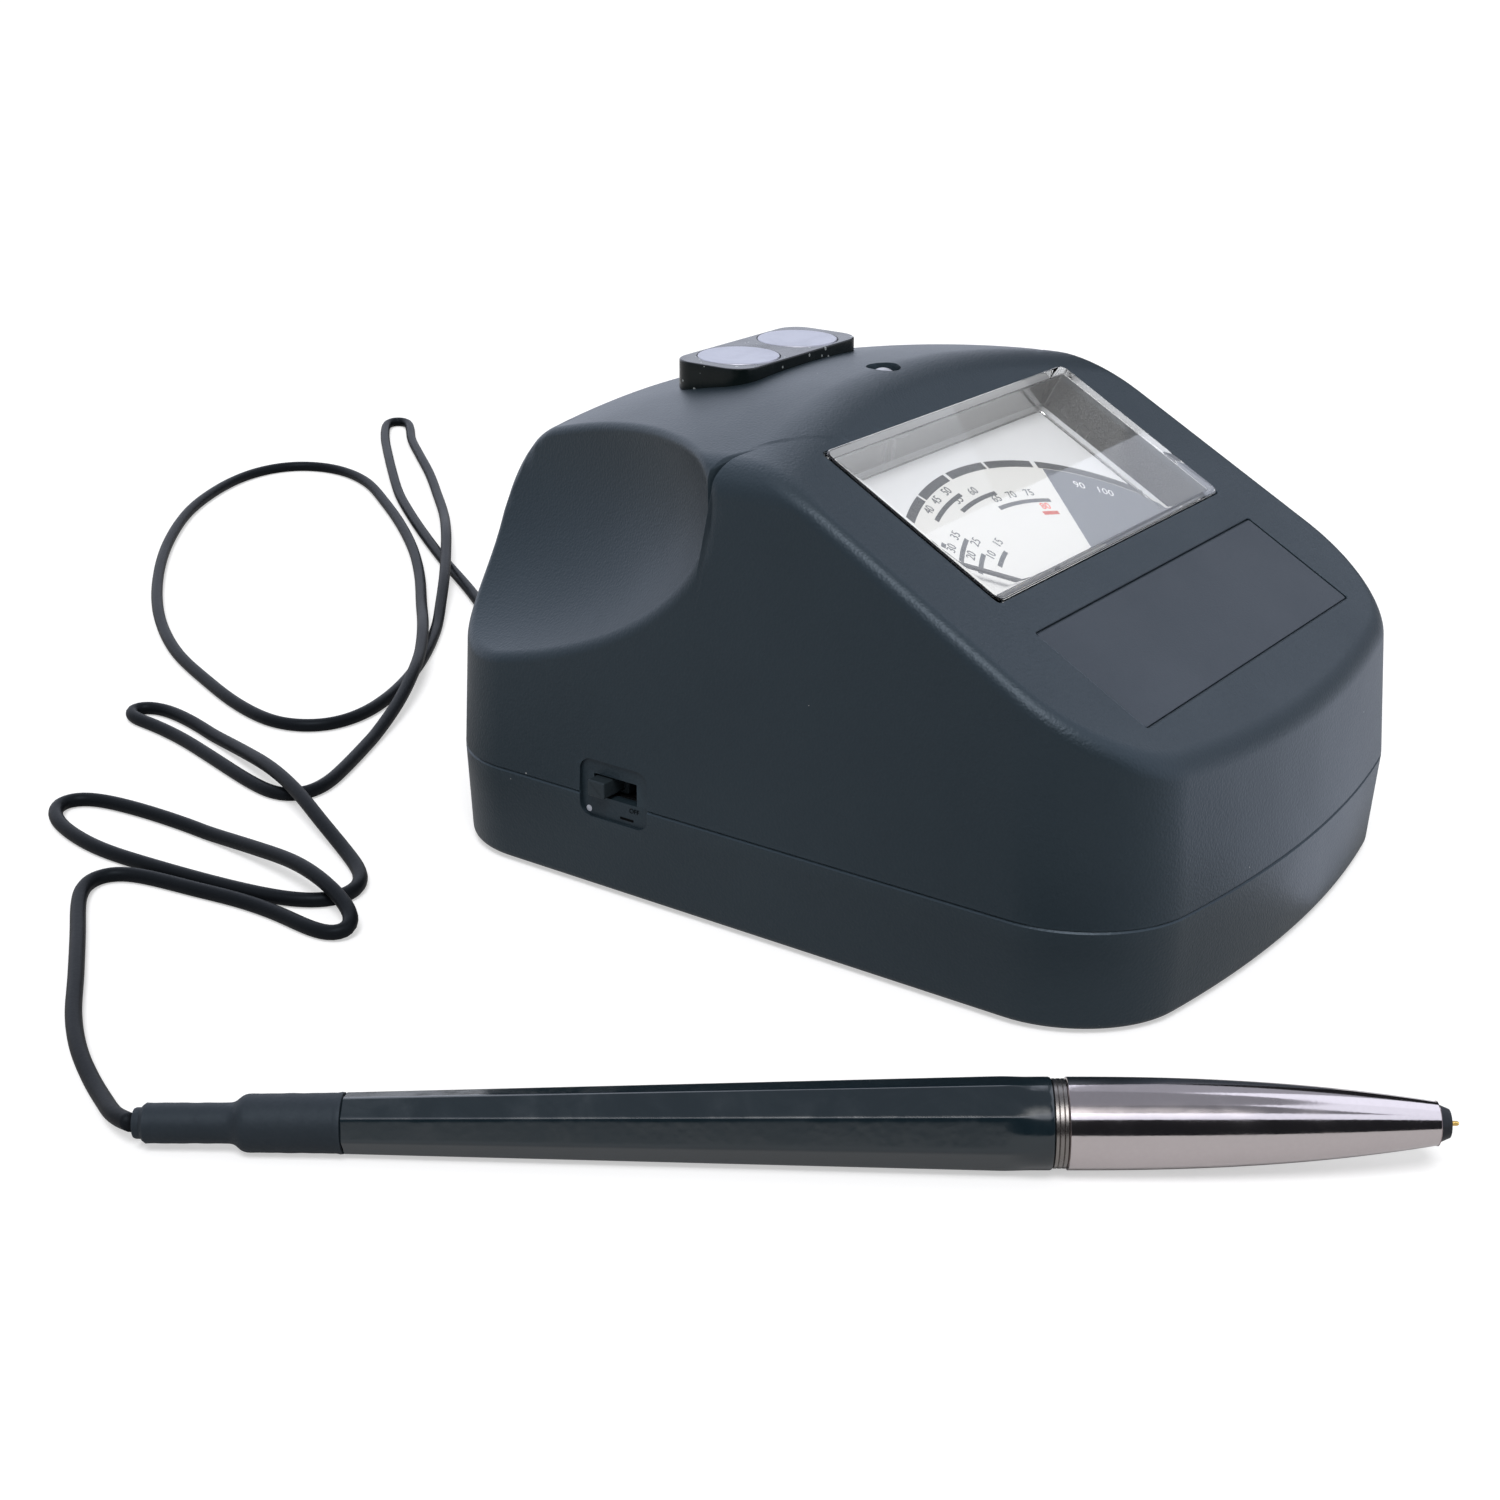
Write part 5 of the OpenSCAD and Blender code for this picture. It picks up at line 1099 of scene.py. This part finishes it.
def world():
    """White backdrop to the camera, to gloss and to glass; a softer grey for the light that it gives."""
    made = bpy.data.worlds.new("studio")
    bpy.context.scene.world = made
    made.use_nodes = True
    tree = made.node_tree
    path = tree.nodes.new("ShaderNodeLightPath").outputs
    seen = add(tree, "Math", {0: path["Is Camera Ray"], 1: path["Is Glossy Ray"]}, operation="MAXIMUM")
    seen = add(tree, "Math", {0: seen.outputs[0], 1: path["Is Transmission Ray"]}, operation="MAXIMUM")
    back = tree.nodes["Background"]
    back.inputs["Color"].default_value = (1, 1, 1, 1)
    strength = add(tree, "MapRange", {"Value": seen.outputs[0], "To Min": 0.45, "To Max": 1.0})
    tree.links.new(strength.outputs[0], back.inputs["Strength"])


def key_light(way, strength, spread):
    """Large far lamp whose light falls from a way in space: a soft sun, so that the floor is lit evenly."""
    lamp = bpy.data.lights.new("key_light", "SUN")
    lamp.energy, lamp.angle = strength, math.radians(spread)
    made = bpy.data.objects.new("key_light", lamp)
    bpy.context.scene.collection.objects.link(made)
    back = np.array(way) / np.linalg.norm(way)
    right = np.cross((0, 1, 0), back)
    right = right / np.linalg.norm(right)
    made.matrix_world = Matrix(np.column_stack([right, np.cross(back, right), back]).tolist()).to_4x4()


def camera():
    """Camera at the photograph's place: its axes from azimuth and elevation, turned by the roll."""
    lens = bpy.data.cameras.new("photo_camera")
    lens.sensor_width = SENSOR_MM
    lens.lens = FOCAL_PX / FRAME_PX * SENSOR_MM
    lens.clip_start, lens.clip_end = 0.01, 20
    ca, sa, ce, se = math.cos(CAMERA_AZ), math.sin(CAMERA_AZ), math.cos(CAMERA_EL), math.sin(CAMERA_EL)
    back = np.array([sa * ce, -ca * ce, se])
    right = np.array([ca, sa, 0])
    up = np.cross(back, right)
    cr, sr = math.cos(CAMERA_ROLL), math.sin(CAMERA_ROLL)
    axes = np.column_stack([right * cr + up * sr, up * cr - right * sr, back])
    made = bpy.data.objects.new("photo_camera", lens)
    bpy.context.scene.collection.objects.link(made)
    made.matrix_world = Matrix(axes.tolist()).to_4x4()
    made.location = np.array(CAMERA_AT) * MM
    bpy.context.scene.camera = made


def dress_nodes():
    """Materials for the solids that stay as they are."""
    finishes = {
        DOOR: ["battery_door"], RUBBER: ["rubber_feet", "cord_grommet"], DIAL: ["dial_plate"],
        STEEL: ["door_hinge_pin", "case_screws", "meter_screws", "needle_spindle", "battery_contacts",
                "tip_spring"],
        CHIP_SKIN: ["meter_tub", "circuit_chips", "switch_body"], IRON: ["magnet_yoke", "core_magnet"],
        BRASS: ["bearing_bridge"], COPPER: ["moving_coil"], NEEDLE_SKIN: ["meter_needle"],
        BOARD_SKIN: ["circuit_board"], LENS: ["ready_lamp"], CELL_SKIN: ["battery_cells"],
        NOSE_SKIN: ["tip_nose"], GOLD: ["tip_plunger"]}
    for material, names in finishes.items():
        for name in names:
            slots = frame["nodes"][name].data.materials
            slots.clear()
            slots.append(material)


camera()
cord()
upper_moulding()
lower_moulding()
clear_cover()
dial_print()
numbers("dial_numbers", PRINT_DARK, 2.05, [
    ("40", 41.2, -17), ("45", 41.2, -12), ("50", 41.2, -6.5), ("55", 39.0, -6.5), ("60", 39.0, 0.5),
    ("65", 36.2, 5), ("70", 36.2, 11), ("75", 36.2, 17.5), ("30", 36.1, -27), ("35", 36.1, -21),
    ("20", 33.0, -26), ("25", 33.0, -19), ("10", 30.2, -21), ("15", 30.2, -13)])
numbers("dial_mark_number", PRINT_RED, 2.0, [("80", 33.0, 19.2)])
numbers("dial_sector_numbers", PRINT_WHITE, 2.2, [("90", 39.2, 36), ("100", 39.2, 43)])
disc_block()
reference_disc("reference_disc_left", -1)
reference_disc("reference_disc_right", 1)
label_plate()
switch_knob()
switch_marks()
pen_sleeve()
pen_barrel()
ferrule_ring()
grip_cone()
tip_spring()
dress_nodes()
floor()
world()
cards()
key_light((-0.44, -0.30, 0.85), 0.65 * math.pi, 24)
bpy.context.scene.view_settings.view_transform = "Standard"
